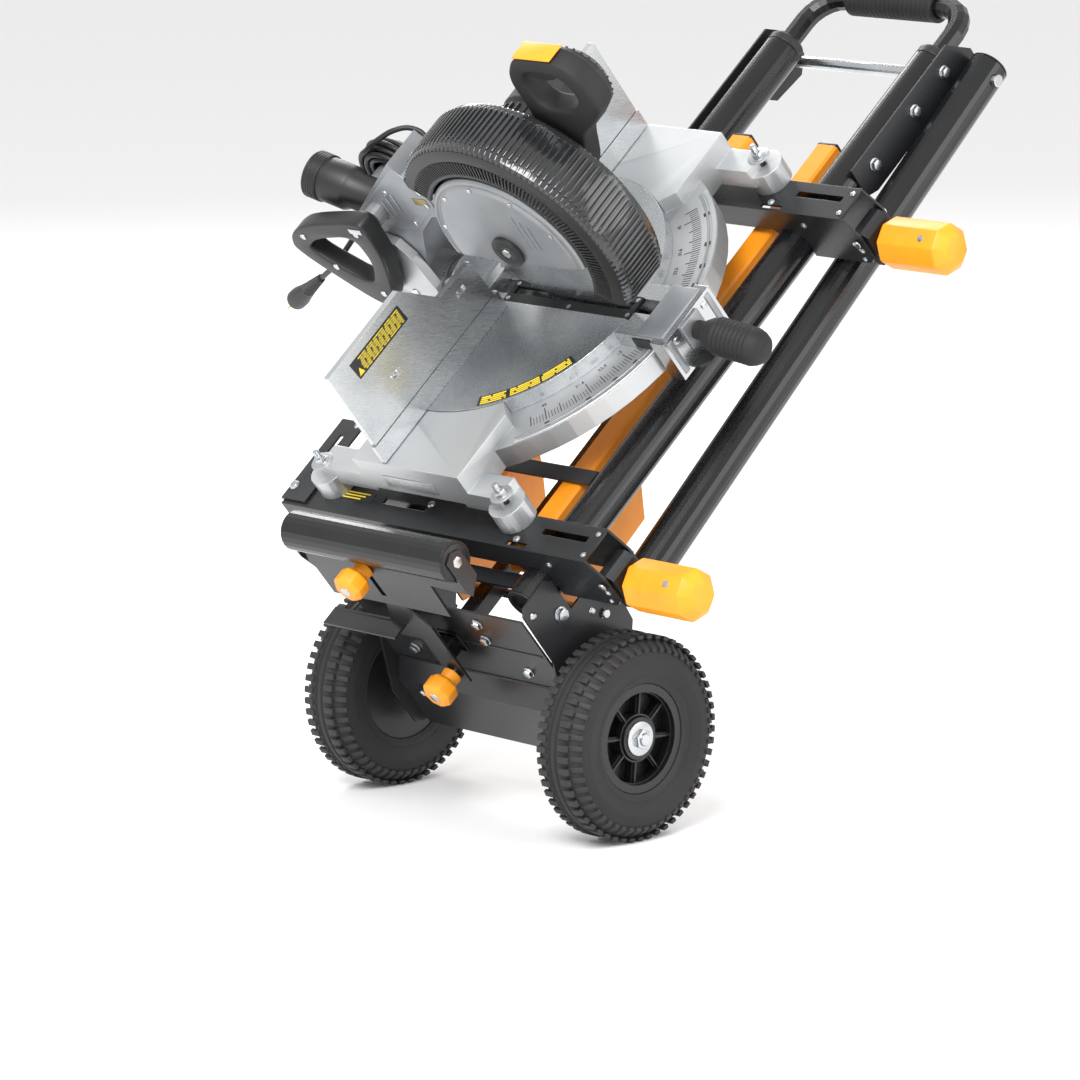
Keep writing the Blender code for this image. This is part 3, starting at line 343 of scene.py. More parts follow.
def slabMesh(axis, low, high, outline, holes=(), edge=0.6):
    # a flat outline filled, thickened and given rounded edges
    curve = bpy.data.curves.new("outline", "CURVE")
    curve.dimensions = "2D"
    curve.fill_mode = "BOTH"
    curve.extrude = (high - low) / 2 - edge
    curve.bevel_depth = edge
    curve.bevel_resolution = 2
    curve.offset = -edge
    for points in (outline, *holes):
        spline = curve.splines.new("POLY")
        spline.points.add(len(points) - 1)
        for point, (a, b) in zip(spline.points, points):
            point.co = (a, b, 0, 1)
        spline.use_cyclic_u = True
    bm = meshOfCurve(curve)
    bmesh.ops.remove_doubles(bm, verts=bm.verts, dist=0.002)
    bmesh.ops.recalc_face_normals(bm, faces=bm.faces)
    middle = (low + high) / 2
    shift = {"x": (middle, 0, 0), "y": (0, middle, 0), "z": (0, 0, middle)}[axis]
    bmesh.ops.transform(bm, matrix=Matrix.Translation(shift) @ axisFacing[axis], verts=bm.verts)
    return bm


def softOutline(points, rounds=3):
    # cuts the corners off a closed outline, again and again
    for _ in range(rounds):
        points = [(a[0] + (b[0] - a[0]) * t, a[1] + (b[1] - a[1]) * t)
                  for a, b in zip(points, points[1:] + points[:1]) for t in (0.2, 0.8)]
    return points


def smoothPath(points, spacing):
    points = [Vector(p) for p in points]
    ends = [points[0] * 2 - points[1]] + points + [points[-1] * 2 - points[-2]]
    fine = []
    for p0, p1, p2, p3 in zip(ends, ends[1:], ends[2:], ends[3:]):
        for n in range(24):
            t = n / 24
            fine.append(0.5 * (2 * p1 + (p2 - p0) * t + (2 * p0 - 5 * p1 + 4 * p2 - p3) * t * t
                               + (3 * p1 - 3 * p2 + p3 - p0) * t ** 3))
    fine.append(points[-1])
    lengths = [0.0]
    for a, b in zip(fine, fine[1:]):
        lengths.append(lengths[-1] + (b - a).length)
    count = max(2, round(lengths[-1] / spacing))
    path, k = [], 0
    for n in range(count + 1):
        want = lengths[-1] * n / count
        while k < len(fine) - 2 and lengths[k + 1] < want:
            k += 1
        path.append(fine[k].lerp(fine[k + 1], (want - lengths[k]) / max(lengths[k + 1] - lengths[k], 1e-9)))
    return path, lengths[-1]


# power cord: out of its gland, round the post on the head, and under it to the plug
cordValues = {"diameter": 7.2, "coilCentre": (-276, 440), "outer": 46.2, "step": 8.3, "column": 7.6}


def cordRoute():
    start = [(-200, 60.9, 478), (-200, 71, 478), (-203, 80, 482), (-213, 86, 491), (-228, 82, 501),
             (-243, 70, 505), (-258, 60, 501.5), (-275, 53.8, 493.8)]
    cx, cz = cordValues["coilCentre"]
    plan = [("in", 2.0), ("shift", 0.5), ("out", 2.0), ("shift", 0.5), ("in", 2.0), ("shift", 0.5),
            ("out", 1.72)]
    angle, radius, across = 110.0, cordValues["outer"], 51.2
    turns = []
    for kind, amount in plan:
        count = round(amount * 20)
        for n in range(count):
            turns.append((cx + radius * math.cos(math.radians(angle)), across,
                          cz + radius * math.sin(math.radians(angle))))
            angle += 360 * amount / count
            radius += {"in": -1, "out": 1, "shift": 0}[kind] * cordValues["step"] * amount / count
            across += cordValues["column"] / count if kind == "shift" else 0
    end = [(-321.6, 74, 418), (-327.5, 71.5, 405.5), (-334, 60, 397), (-340, 40, 389), (-344, 15, 381),
           (-350, -10, 373), (-358, -30, 365), (-371, -39, 355.5), (-388, -40, 345), (-407, -40, 333.5)]
    return [(x, sawY + y, z) for x, y, z in start + turns + end]


def makeCord():
    path, length = smoothPath(cordRoute(), 6.0)
    curve = bpy.data.curves.new("powerCord", "CURVE")
    curve.dimensions = "3D"
    curve.bevel_depth = cordValues["diameter"] / 2000
    curve.bevel_resolution = 3
    curve.use_fill_caps = True
    spline = curve.splines.new("POLY")
    spline.points.add(len(path) - 1)
    for point, spot in zip(spline.points, path):
        point.co = (*place(*spot), 1)
    cord = bpy.data.objects.new("powerCord", curve)
    bpy.context.scene.collection.objects.link(cord)
    curve.materials.append(finishes["pvcSheath"])
    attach(cord, "head")
    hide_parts("cord_coil", "cord_from_saw", "cord_to_plug")

    # moulded plug with a ribbed sleeve and two brass pins
    tip, before = Vector(path[-1]), Vector(path[-2])
    along = (tip - before).normalized()
    sleeve = [(0.0, 112), (9, 112), (11.4, 110.5), (12, 108), (13.6, 106), (13.6, 90), (11.6, 76), (9.8, 61)]
    for n in range(11):
        h = 58 - n * 5
        wide = 9.2 - n * 0.36
        sleeve += [(wide, h), (wide, h - 2.6), (wide - 1.5, h - 3.1), (wide - 1.5, h - 4.6)]
    sleeve += [(4.6, 1), (0.0, 1)]
    plug = finishPiece("plugBody", turnedMesh(tip, along, sleeve, 40), "pvcSheath", "head",
                       replaced=("cord_plug",))
    pins = bmesh.new()
    side = along.cross(Vector((0, 0, 1))).normalized() * 6.4
    for shift in (side, -side):
        root = tip + along * 111 + shift
        turn = aim(root, along)
        addBlock(pins, (-0.8, -3.1, 0), (0.8, 3.1, 18.5), 0.5, turn)
    pinPiece = finishPiece("plugPins", pins, "brassPin", "head")
    print("cord made, metres:", round(length / 1000, 3))


makeCord()


# wheels: lugged tyres on spoked rims
tyreValues = {"radius": 127.0, "carcass": 124.4, "half": 35.0, "lugs": 54, "rim": 67.6}
wheelX = {"front": 209.5, "rear": -209.5}


def makeTyre(sideName):
    side = 1 if sideName == "front" else -1
    centre = (wheelX[sideName], 0, 0)
    carcass, half = tyreValues["carcass"], tyreValues["half"]
    outer = [(tyreValues["rim"], half - 9), (72, half - 5.5), (75, half - 4.2), (77, half - 4.6),
             (80, half - 2.6), (92, half - 0.8), (94, half - 0.2), (96, half - 0.8), (104, half - 1.4),
             (112, half - 5), (118, half - 12), (carcass - 1, half - 20), (carcass, 8), (carcass - 1.6, 6.5),
             (carcass - 1.6, 4), (carcass, 2.5)]
    profile = outer + [(r, -h) for r, h in reversed(outer)]
    bm = turnedMesh((0, 0, 0), (0, 0, 1), profile, 96)
    count = tyreValues["lugs"]
    for row, sign in enumerate((1, -1)):
        for n in range(count):
            turn = Matrix.Rotation(2 * math.pi * (n + 0.5 * row) / count, 4, "Z")
            addBlock(bm, (carcass - 3, -4.0, min(sign * 10, sign * 25)), (tyreValues["radius"] - 0.6, 4.0,
                                                                    max(sign * 10, sign * 25)), 0.7, turn)
            shoulder = Matrix.Translation((114, 0, sign * 27)) @ Matrix.Rotation(sign * 0.95, 4, "Y")
            addBlock(bm, (-9.5, -3.2, -2.4), (8.5, 3.2, 1.6), 0.6, turn @ shoulder)
    bmesh.ops.transform(bm, matrix=aim(centre, (side, 0, 0)), verts=bm.verts)
    finishPiece(f"tyreTread_{sideName}", bm, "tyreRubber", f"wheel_{sideName}",
                replaced=(f"tyre_{sideName}",))


def makeHub(sideName):
    side = 1 if sideName == "front" else -1
    face = wheelX[sideName] + side * 22
    bm = bmesh.new()
    addDisc(bm, (face + side * 0.2, 0, 0), (side, 0, 0), 21, 2.0, 48, edge=0.5)
    addDisc(bm, (face + side * 2.2, 0, 0), (side, 0, 0), 12.8, 6.5, 6, edge=0.8)
    addDisc(bm, (face + side * 8.7, 0, 0), (side, 0, 0), 8.4, 2.6, 24, topRadius=7.6)
    inner = wheelX[sideName] - side * 22
    addDisc(bm, (inner - side * 0.2, 0, 0), (-side, 0, 0), 20, 2.0, 48, edge=0.5)
    addDisc(bm, (inner - side * 2.2, 0, 0), (-side, 0, 0), 13.2, 5.5, 6, edge=0.8)
    finishPiece(f"hubNut_{sideName}", bm, "zincPlate", f"wheel_{sideName}")
    # raised rings and a rib on each spoke
    rings = turnedMesh((wheelX[sideName], 0, 0), (side, 0, 0),
                       [(60.5, 24.6), (66.4, 24.6), (67.4, 24), (67.4, 22), (60.5, 22)], 64)
    for n in range(8):
        turn = (Matrix.Translation((wheelX[sideName], 0, 0))
                @ Matrix.Rotation(2 * math.pi * n / 8, 4, "X"))
        for face in (side, -side):
            low, high = sorted((face * 14.6, face * 18.5))
            addBlock(rings, (low, 27, -1.4), (high, 56.6, 1.4), 0.5, turn)
    for face in (side, -side):
        for radius in (28.5, 56.4):
            absorb(rings, turnedMesh((wheelX[sideName], 0, 0), (face, 0, 0),
                                     [(radius - 1.2, 19), (radius + 1.2, 19), (radius + 1.2, 5),
                                      (radius - 1.2, 5)], 64))
    finishPiece(f"rimRibs_{sideName}", rings, "mouldedNylon", f"wheel_{sideName}")


for wheelSide in ("front", "rear"):
    makeTyre(wheelSide)
    makeHub(wheelSide)
print("wheels made")


# fasteners: hex bolts, nuts on studs, pan heads and rivets
def addBolt(bm, spot, direction, kind, size):
    along = Vector(direction)
    spot = Vector(spot) + along * 0.15
    if kind == "hex":
        addDisc(bm, spot, along, size * 1.1, 1.2, 28, edge=0.3)
        addDisc(bm, spot + along * 1.2, along, size * 0.9, size * 0.62, 6, edge=0.4)
    elif kind == "stud":
        addDisc(bm, spot, along, size * 1.2, 1.4, 28, edge=0.3)
        addDisc(bm, spot + along * 1.4, along, size * 0.95, size * 0.8, 6, edge=0.4)
        addDisc(bm, spot + along * (1.4 + size * 0.8), along, size * 0.5, size * 1.3, 20, edge=0.6)
        for n in range(4):
            addDisc(bm, spot + along * (2.2 + size * (0.8 + 0.26 * n)), along, size * 0.55, size * 0.1, 20)
    elif kind == "pan":
        addDisc(bm, spot, along, size, size * 0.45, 24, topRadius=size * 0.72, edge=0.4)
    else:
        addDisc(bm, spot, along, size * 1.1, 0.8, 24, edge=0.25)
        addDisc(bm, spot + along * 0.8, along, size * 0.7, 1.2, 20, topRadius=size * 0.4)


sideFace = 158.7  # outer faces of the side plates, along the axle
panelFace = 0.4
fasteners = {
    "stand": [((sideFace, 88, 118), front, "pan", 5), ((sideFace, 18, 186), front, "pan", 5),
              ((60, panelFace, 142), toWheels, "hex", 7), ((130, 100, 207.2), up, "rivet", 4)],
    "carriage": [((-301, 100, 243.3), up, "pan", 7), ((-274, 206, 243.3), up, "pan", 4),
                 ((-301, 666, 243.3), up, "pan", 7), ((-274, 560, 243.3), up, "pan", 4)],
}
for side, outward in ((1, front), (-1, rear)):
    fasteners["stand"] += [((side * sideFace, 50, 154), outward, "hex", 9),
                           ((side * 102, panelFace, 92), toWheels, "hex", 7),
                           ((side * 66, panelFace, 172), toWheels, "hex", 7),
                           ((side * 125, -18.2, 20), toWheels, "pan", 5)]
    for boltY in (785, 880, 950):
        fasteners["stand"].append(((side * sideFace, boltY, 182), outward, "hex", 8))
for barY in barStarts.values():
    fasteners["carriage"] += [((112, barY + 14, bar["top"]), up, "pan", 5),
                              ((-60, barY + 40, bar["top"]), up, "pan", 5),
                              ((230, barY + 10, bar["top"]), up, "rivet", 3.4),
                              ((230, barY + 43, bar["top"]), up, "rivet", 3.4)]
    for edgeY, outward in ((barY, toWheels), (barY + bar["depth"], toHandle)):
        fasteners["carriage"] += [((244, edgeY, 186), outward, "rivet", 4),
                                  ((240, edgeY, 171), outward, "rivet", 3.2),
                                  ((166, edgeY, 220), outward, "rivet", 4),
                                  ((-166, edgeY, 220), outward, "rivet", 4)]
for side in (-1, 1):
    for footX in (92, -232):
        fasteners["carriage"].append(((footX, sawY + side * 287, 284), up, "stud", 8))
for bodyName, rows in fasteners.items():
    bolts = bmesh.new()
    for row in rows:
        addBolt(bolts, *row)
    finishPiece(f"fasteners_{bodyName}", bolts, "zincPlate", bodyName)

for barName, barY in barStarts.items():
    caps = bmesh.new()
    for endY, outward in ((barY - 3, toWheels), (barY + bar["depth"] + 3, toHandle)):
        addDisc(caps, (246, endY, 200), outward, 5.6, 1.6, 20, edge=0.5)
    finishPiece(f"leverPinCaps_{barName}", caps, "zincPlate", f"{barName}_lever")
print("fasteners made")


# rails and legs: plugs in the open tube ends, collars and a ribbed grip at the pull handle
endPlug = {"radius": 25.2, "inner": 22.8, "lip": 2.2, "depth": 14.0}
railX = 130.0
railZ = 182.0
gripValues = {"half": 75.0, "y": 1060.0, "radius": 20.4, "groove": 19.2, "bore": 14.4, "ribs": 18,
              "pitch": 7.6}


def addTubePlug(bm, start, direction):
    radius, inner, lip, depth = (endPlug[k] for k in ("radius", "inner", "lip", "depth"))
    absorb(bm, turnedMesh(start, direction,
                          [(0.0, -1.0), (17, -1.0), (19, lip), (24.2, lip), (radius, lip - 1), (radius, 0.1),
                           (inner, 0.1), (inner, -depth), (0.0, -depth)], 48))


def makeTubeEnds():
    railPlugs = bmesh.new()
    for side in (1, -1):
        addTubePlug(railPlugs, (side * railX, 34, railZ), toWheels)
    finishPiece("railEndPlugs", railPlugs, "mouldedAbs", "stand")
    legAxis = (Vector((0, 130, 103)) - Vector((0, 997, 149.2))).normalized()
    legPlugs = bmesh.new()
    for legX in (184.5, -184.5):
        addTubePlug(legPlugs, (legX, 130, 103), tuple(legAxis))
        addTubePlug(legPlugs, (legX, 996.2, 149.2), tuple(-legAxis))
    finishPiece("legEndPlugs", legPlugs, "mouldedAbs", "outer_legs")


def makePullHandleParts():
    collars = bmesh.new()
    for side in (1, -1):
        absorb(collars, turnedMesh((side * railX, 960.2, railZ), toHandle,
                                   [(14.4, 0), (23.6, 0), (25.2, 1.5), (25.2, 11), (23, 14), (15.6, 17),
                                    (14.4, 17)], 48))
    finishPiece("handleCollars", collars, "mouldedAbs", "stand")
    radius, groove, bore = gripValues["radius"], gripValues["groove"], gripValues["bore"]
    length = 2 * gripValues["half"]
    profile = [(bore, 0), (groove, 0), (radius, 1.4)]
    for n in range(gripValues["ribs"]):
        h = 8 + n * gripValues["pitch"]
        profile += [(radius, h), (groove, h + 1.2), (groove, h + 2.6), (radius, h + 3.8)]
    profile += [(radius, length - 1.4), (groove, length), (bore, length)]
    ribbed = turnedMesh((-gripValues["half"], gripValues["y"], railZ), front, profile, 48)
    finishPiece("ribbedGrip", ribbed, "softGrip", "stand", replaced=("pull_handle_grip",))


def makeLegCaps():
    legCaps = bmesh.new()
    for legX in (75, -75):
        addBlock(legCaps, (legX - 16.6, 796, 173.4), (legX + 16.6, 801.6, 194.6), 1.5)
    finishPiece("innerLegCaps", legCaps, "mouldedAbs", "inner_legs")


makeTubeEnds()
makePullHandleParts()
makeLegCaps()
print("rail, leg and handle ends made")


# levers and knobs
leverValues = {"across": 65.0, "start": 262.0, "end": 376.0, "chamfer": 12.0}


def makeLeverGrip(barName, barY):
    middle = barY + bar["depth"] / 2
    bm = bmesh.new()
    addDisc(bm, (leverValues["start"], middle, 178), front, leverValues["across"] / 2,
            leverValues["end"] - leverValues["start"], 8)
    ends = [e for e in bm.edges if abs(e.verts[0].co.x - e.verts[1].co.x) < 0.01]
    bmesh.ops.bevel(bm, geom=ends, offset=leverValues["chamfer"], segments=1, profile=0.5, affect="EDGES",
                    material=-1)
    bmesh.ops.bevel(bm, geom=bm.edges[:], offset=1.6, segments=3, profile=0.5, affect="EDGES", material=-1)
    finishPiece(f"leverGripMoulding_{barName}", bm, "orangePolypropylene", f"{barName}_lever",
                replaced=(f"{barName}_lever_grip",), angle=50)
    screw = bmesh.new()
    root = Vector((341, middle, 178)) + Vector((0, -0.3827, 0.9239)) * 29.8
    addDisc(screw, root, (0, -0.3827, 0.9239), 4.6, 1.0, 24, edge=0.4)
    finishPiece(f"leverScrew_{barName}", screw, "zincPlate", f"{barName}_lever")


knobValues = {"near": -40.0, "far": -66.0, "across": 41.6, "chamfer": 4.5, "collar": 12.6}


def makeKnob(name, body, x, z, replacedNode):
    # eight-sided clamp knob with a fluted collar and a pressed-in insert
    near, far = knobValues["near"], knobValues["far"]
    bm = bmesh.new()
    addDisc(bm, (x, near, z), toWheels, knobValues["across"] / 2, near - far, 8)
    ends = [e for e in bm.edges if abs(e.verts[0].co.y - e.verts[1].co.y) < 0.01]
    bmesh.ops.bevel(bm, geom=ends, offset=knobValues["chamfer"], segments=1, profile=0.5, affect="EDGES",
                    material=-1)
    bmesh.ops.bevel(bm, geom=bm.edges[:], offset=1.3, segments=3, profile=0.5, affect="EDGES", material=-1)
    addDisc(bm, (x, near + 12.6, z), toWheels, knobValues["collar"], 14, 36, topRadius=11, edge=0.8)
    finishPiece(name, bm, "orangePolypropylene", body, replaced=(replacedNode,), angle=50)
    screw = bmesh.new()
    addDisc(screw, (x, -19.5, z), toWheels, 3.9, 20, 20)
    addDisc(screw, (x, far + 0.2, z), toWheels, 7.2, 0.8, 32, edge=0.3)
    finishPiece(f"{name}Screw", screw, "zincPlate", body)


for barName, barY in barStarts.items():
    makeLeverGrip(barName, barY)
makeKnob("heightKnobMoulding", "height_knob", -35, 282, "roller_height_knob")
makeKnob("lockKnobMoulding", "lock_knob", -12, 92, "arm_lock_knob")
rollerValues = {"half": 143.0, "y": -16.0, "z": 318.0}


def makeRollerEnds():
    caps, nuts = bmesh.new(), bmesh.new()
    y, z = rollerValues["y"], rollerValues["z"]
    for side, outward in ((1, front), (-1, rear)):
        endX = side * rollerValues["half"]
        addDisc(caps, (endX - side * 0.6, y, z), outward, 21.5, 0.9, 48, edge=0.3)
        addDisc(caps, (endX + side * 0.3, y, z), outward, 9, 0.6, 32)
        addDisc(nuts, (endX + side * 3.4, y, z), outward, 7.5, 0.8, 6, edge=0.2)
    finishPiece("rollerEndCaps", caps, "mouldedNylon", "roller")
    finishPiece("rollerAxleNuts", nuts, "zincPlate", "roller_plate")


makeRollerEnds()
print("levers, knobs and roller made")


# saw base: scale, stops, hand hold and foot details
scaleValues = {"top": 292.0, "figures": 214.0, "marks": 242.0, "notchShade": 251.5, "figureSize": 7.5,
               "stops": (-45, -31.6, -22.5, -15, 0, 15, 22.5, 31.6, 45)}


def aroundTable(angle, radius, z):
    turn = math.radians(angle)
    return Vector((sawX + radius * math.cos(turn), sawY + radius * math.sin(turn), z))


def aroundMatrix(angle, radius, z):
    return Matrix.Translation(aroundTable(angle, radius, z)) @ Matrix.Rotation(math.radians(angle), 4, "Z")


def makeScale():
    top = scaleValues["top"]
    marks = bmesh.new()
    for degree in range(-50, 51):
        reach = 12 if degree % 5 else (17 if degree % 15 else 22)
        wide = 0.35 if degree % 5 else 0.6
        seat = aroundMatrix(degree, scaleValues["marks"], top)
        addBlock(marks, (-reach, -wide, 0), (0, wide, 0.25), 0, seat)
    for stop in scaleValues["stops"]:
        text = bpy.data.curves.new("figure", "FONT")
        text.body = f"{abs(stop):g}"
        text.size = scaleValues["figureSize"]
        text.align_x = "CENTER"
        text.align_y = "CENTER"
        text.extrude = 0.12
        figure = meshOfCurve(text)
        upright = aroundMatrix(stop, scaleValues["figures"], top + 0.2) @ Matrix.Rotation(math.pi / 2, 4, "Z")
        bmesh.ops.transform(figure, matrix=upright, verts=figure.verts)
        absorb(marks, figure)
    finishPiece("scaleMarks", marks, "markInk", "carriage")
    # the detent notches are not cut: a dark flat patch at each stop is painted shade standing in for the
    # recess
    notchShade = bmesh.new()
    for stop in scaleValues["stops"]:
        addBlock(notchShade, (-4.2, -3.4, 0), (4.2, 3.4, 0.5), 0.2,
                 aroundMatrix(stop, scaleValues["notchShade"], top - 0.1))
    finishPiece("stopNotchShade", notchShade, "markInk", "carriage")
    # raised rim outside the scale, and a step below it
    sections = ((256.6, 263.6, top + 0.1, top + 2), (250, 254, top - 0.1, top + 0.9))
    for number, (inner, outer, low, high) in enumerate(sections):
        band = bmesh.new()
        section = ((inner, low), (outer - 1, low), (outer, low + 0.8), (outer, high - 0.8), (outer - 1, high),
                   (inner + 1, high), (inner, high - 0.8))
        face = band.faces.new([band.verts.new((r, 0, z)) for r, z in section])
        bmesh.ops.rotate(band, cent=(0, 0, 0), matrix=Matrix.Rotation(math.radians(-55), 3, "Z"),
                         verts=band.verts)
        bmesh.ops.spin(band, geom=[face, *face.edges, *face.verts], cent=(0, 0, 0), axis=(0, 0, 1),
                       angle=math.radians(110), steps=72)
        bmesh.ops.remove_doubles(band, verts=band.verts, dist=0.001)
        bmesh.ops.recalc_face_normals(band, faces=band.faces)
        bmesh.ops.translate(band, vec=(sawX, sawY, 0), verts=band.verts)
        finishPiece(f"scaleRim_{number}", band, "blastedCasting", "carriage")
    # ribs, bosses and a hand hold on the base's ends
    trims = bmesh.new()
    for sign in (-1, 1):
        endY = sawY + sign * 295
        low, high = sorted((endY, endY + sign * 1.6))
        addBlock(trims, (-110, low, 270), (-20, high, 290), 0.7)
        for k in range(6):
            addBlock(trims, (-100 + k * 14, low - 0.2, 273), (-96 + k * 14, high + 0.2, 287), 0.5)
        for bossX in (92, -232):
            addDisc(trims, (bossX, sawY + sign * 287, 283.6), up, 15, 1.2, 40, edge=0.5)
        addBlock(trims, (-60, sawY + sign * 150, 311.9), (30, sawY + sign * 151.2, 312.25))
    finishPiece("baseTrims", trims, "blastedCasting", "carriage")


makeScale()


# turntable: warning strip without words, table screws and the arm's clamp
tableValues = {"top": 313.0, "stripStart": -68.0, "stripSweep": 40.0, "stripRadius": 192.0}


def makeTurntableDetails():
    top, start, sweep = tableValues["top"], tableValues["stripStart"], tableValues["stripSweep"]
    strip = bmesh.new()
    bars = bmesh.new()
    for k in range(60):
        seat = aroundMatrix(start + k * sweep / 60, tableValues["stripRadius"], top)
        addBlock(strip, (-9, -1.3, 0), (7, 1.3, 0.1), 0, seat)
    for k in range(46):
        angle = start + 1.2 + k * (sweep - 2.4) / 46
        for radius, reach in ((186.2, 1.3), (189.6, 1.1), (193, 1.1), (196.4, 1.1)):
            if (k * 7 + int(radius)) % 13 > 0 and k not in (13, 14, 30):
                seat = aroundMatrix(angle, radius, top + 0.09)
                addBlock(bars, (-reach, -1.35, 0), (reach, 1.35, 0.1), 0, seat)
    finishPiece("tableStrip", strip, "blackVinyl", "turntable")
    finishPiece("tableStripBars", bars, "yellowVinyl", "turntable")
    screws = bmesh.new()
    for x in (-98, 10, 112):
        for y in (389.5, 414.5):
            addDisc(screws, (x, y, top + 0.02), up, 3.2, 0.4, 24, edge=0.15)
    for y in (372, 432):
        addDisc(screws, (150, y, 312.05), up, 4.4, 1.6, 24, edge=0.4)
        addDisc(screws, (201.9, y, 300), front, 4.6, 1.8, 24, edge=0.5)
    finishPiece("tableScrews", screws, "zincPlate", "turntable")
    arm = bmesh.new()
    addBlock(arm, (150, 360, 311.6), (196, 444, 316.4), 2.0)
    addBlock(arm, (201.6, 384, 272), (206, 420, 309), 2.2)
    addBlock(arm, (199.6, 357, 257), (203.4, 366, 308), 1.2)
    addBlock(arm, (199.6, 438, 257), (203.4, 447, 308), 1.2)
    finishPiece("armCover", arm, "greyLacquer", "turntable")
    pointer = bmesh.new()
    addBlock(pointer, (176.5, 376, 292.6), (179.0, 378, 298), 0.3)
    addBlock(pointer, (140, 358.6, 293.0), (170, 359.8, 308), 0.4)
    finishPiece("mitrePointer", pointer, "markInk", "turntable")


makeTurntableDetails()


# fences: face seam, slot screws, clamps, and a label without words; the saw face is fenceValues["face"]
fenceValues = {"face": -88.0, "screwZ": 384.0, "screws": (70, 210), "seam": 340.7, "clamps": 200.0}


def makeFenceLabel():
    face = fenceValues["face"]
    plate = [(sawY - 256, 447), (sawY - 254, 421), (sawY - 152, 421), (sawY - 154, 447)]
    label = slabMesh("x", face, face + 0.25, plate, edge=0.05)
    finishPiece("fenceLabel", label, "blackVinyl", "left_fence")
    rows = bmesh.new()
    for k in range(7):
        for piece in range(11):
            length = (7.0, 5.4, 6.4, 4.2, 6.8)[(k * 3 + piece) % 5]
            edgeY = sawY - 158 - piece * 7.6
            addBlock(rows, (face + 0.2, edgeY - length, 442.6 - k * 3.1),
                     (face + 0.4, edgeY, 444.1 - k * 3.1))
    triangle = [(sawY - 252, 424), (sawY - 242, 424), (sawY - 247, 434)]
    absorb(rows, slabMesh("x", face + 0.2, face + 0.5, triangle, edge=0.05))
    finishPiece("fenceLabelBars", rows, "yellowVinyl", "left_fence")


def makeFenceDetails():
    face = fenceValues["face"]
    for name, sign in (("left", -1), ("right", 1)):
        body = f"{name}_fence"
        screws = bmesh.new()
        for reach in fenceValues["screws"]:
            addDisc(screws, (-96, sawY + sign * reach, fenceValues["screwZ"]), front, 3.2, 5.2, 20, edge=0.4)
        finishPiece(f"fenceSlotScrews_{name}", screws, "zincPlate", body)
        if sign < 0:
            makeFenceLabel()
        else:
            badge = bmesh.new()
            addDisc(badge, (face, 560, 420), front, 11, 0.35, 48)
            finishPiece("fenceBadge", badge, "blackVinyl", body)
        seam = bmesh.new()
        y0, y1 = sorted((sawY + sign * 34, sawY + sign * 289))
        addBlock(seam, (-97.4, y0, fenceValues["seam"]), (face + 0.4, y1, fenceValues["seam"] + 0.9), 0.2)
        finishPiece(f"fenceSeam_{name}", seam, "markInk", body)
    clamp = bmesh.new()
    for sign in (-1, 1):
        clampY = sawY + sign * fenceValues["clamps"]
        addBlock(clamp, (-126, clampY - 9, 313.6), (-97.2, clampY + 9, 352), 2.5)
        addDisc(clamp, (-126, clampY, 336), rear, 11, 14, 6, edge=1.2)
    finishPiece("fenceClamps", clamp, "mouldedAbs", "carriage")


makeFenceDetails()
print("base, table and fences made")


# lower guard: combed side rings and a ribbed, smoked rim
guardValues = {"centre": (30.0, sawY, 452.0), "start": -33.0, "sweep": 179.0, "fins": 84, "ribs": 62}


def guardTurn(angle):
    # local x outwards from the arbor, z across the guard towards the wheels
    return (Matrix.Translation(guardValues["centre"]) @ aim((0, 0, 0), (0, -1, 0))
            @ Matrix.Rotation(math.radians(angle), 4, "Z"))


def arcBand(section, start, sweep, steps):
    bm = bmesh.new()
    face = bm.faces.new([bm.verts.new((r, 0, h)) for r, h in section])
    bmesh.ops.spin(bm, geom=[face, *face.edges, *face.verts], cent=(0, 0, 0), axis=(0, 0, 1),
                   angle=math.radians(sweep), steps=steps)
    bmesh.ops.remove_doubles(bm, verts=bm.verts, dist=0.001)
    bmesh.ops.recalc_face_normals(bm, faces=bm.faces)
    bmesh.ops.transform(bm, matrix=guardTurn(start), verts=bm.verts)
    return bm


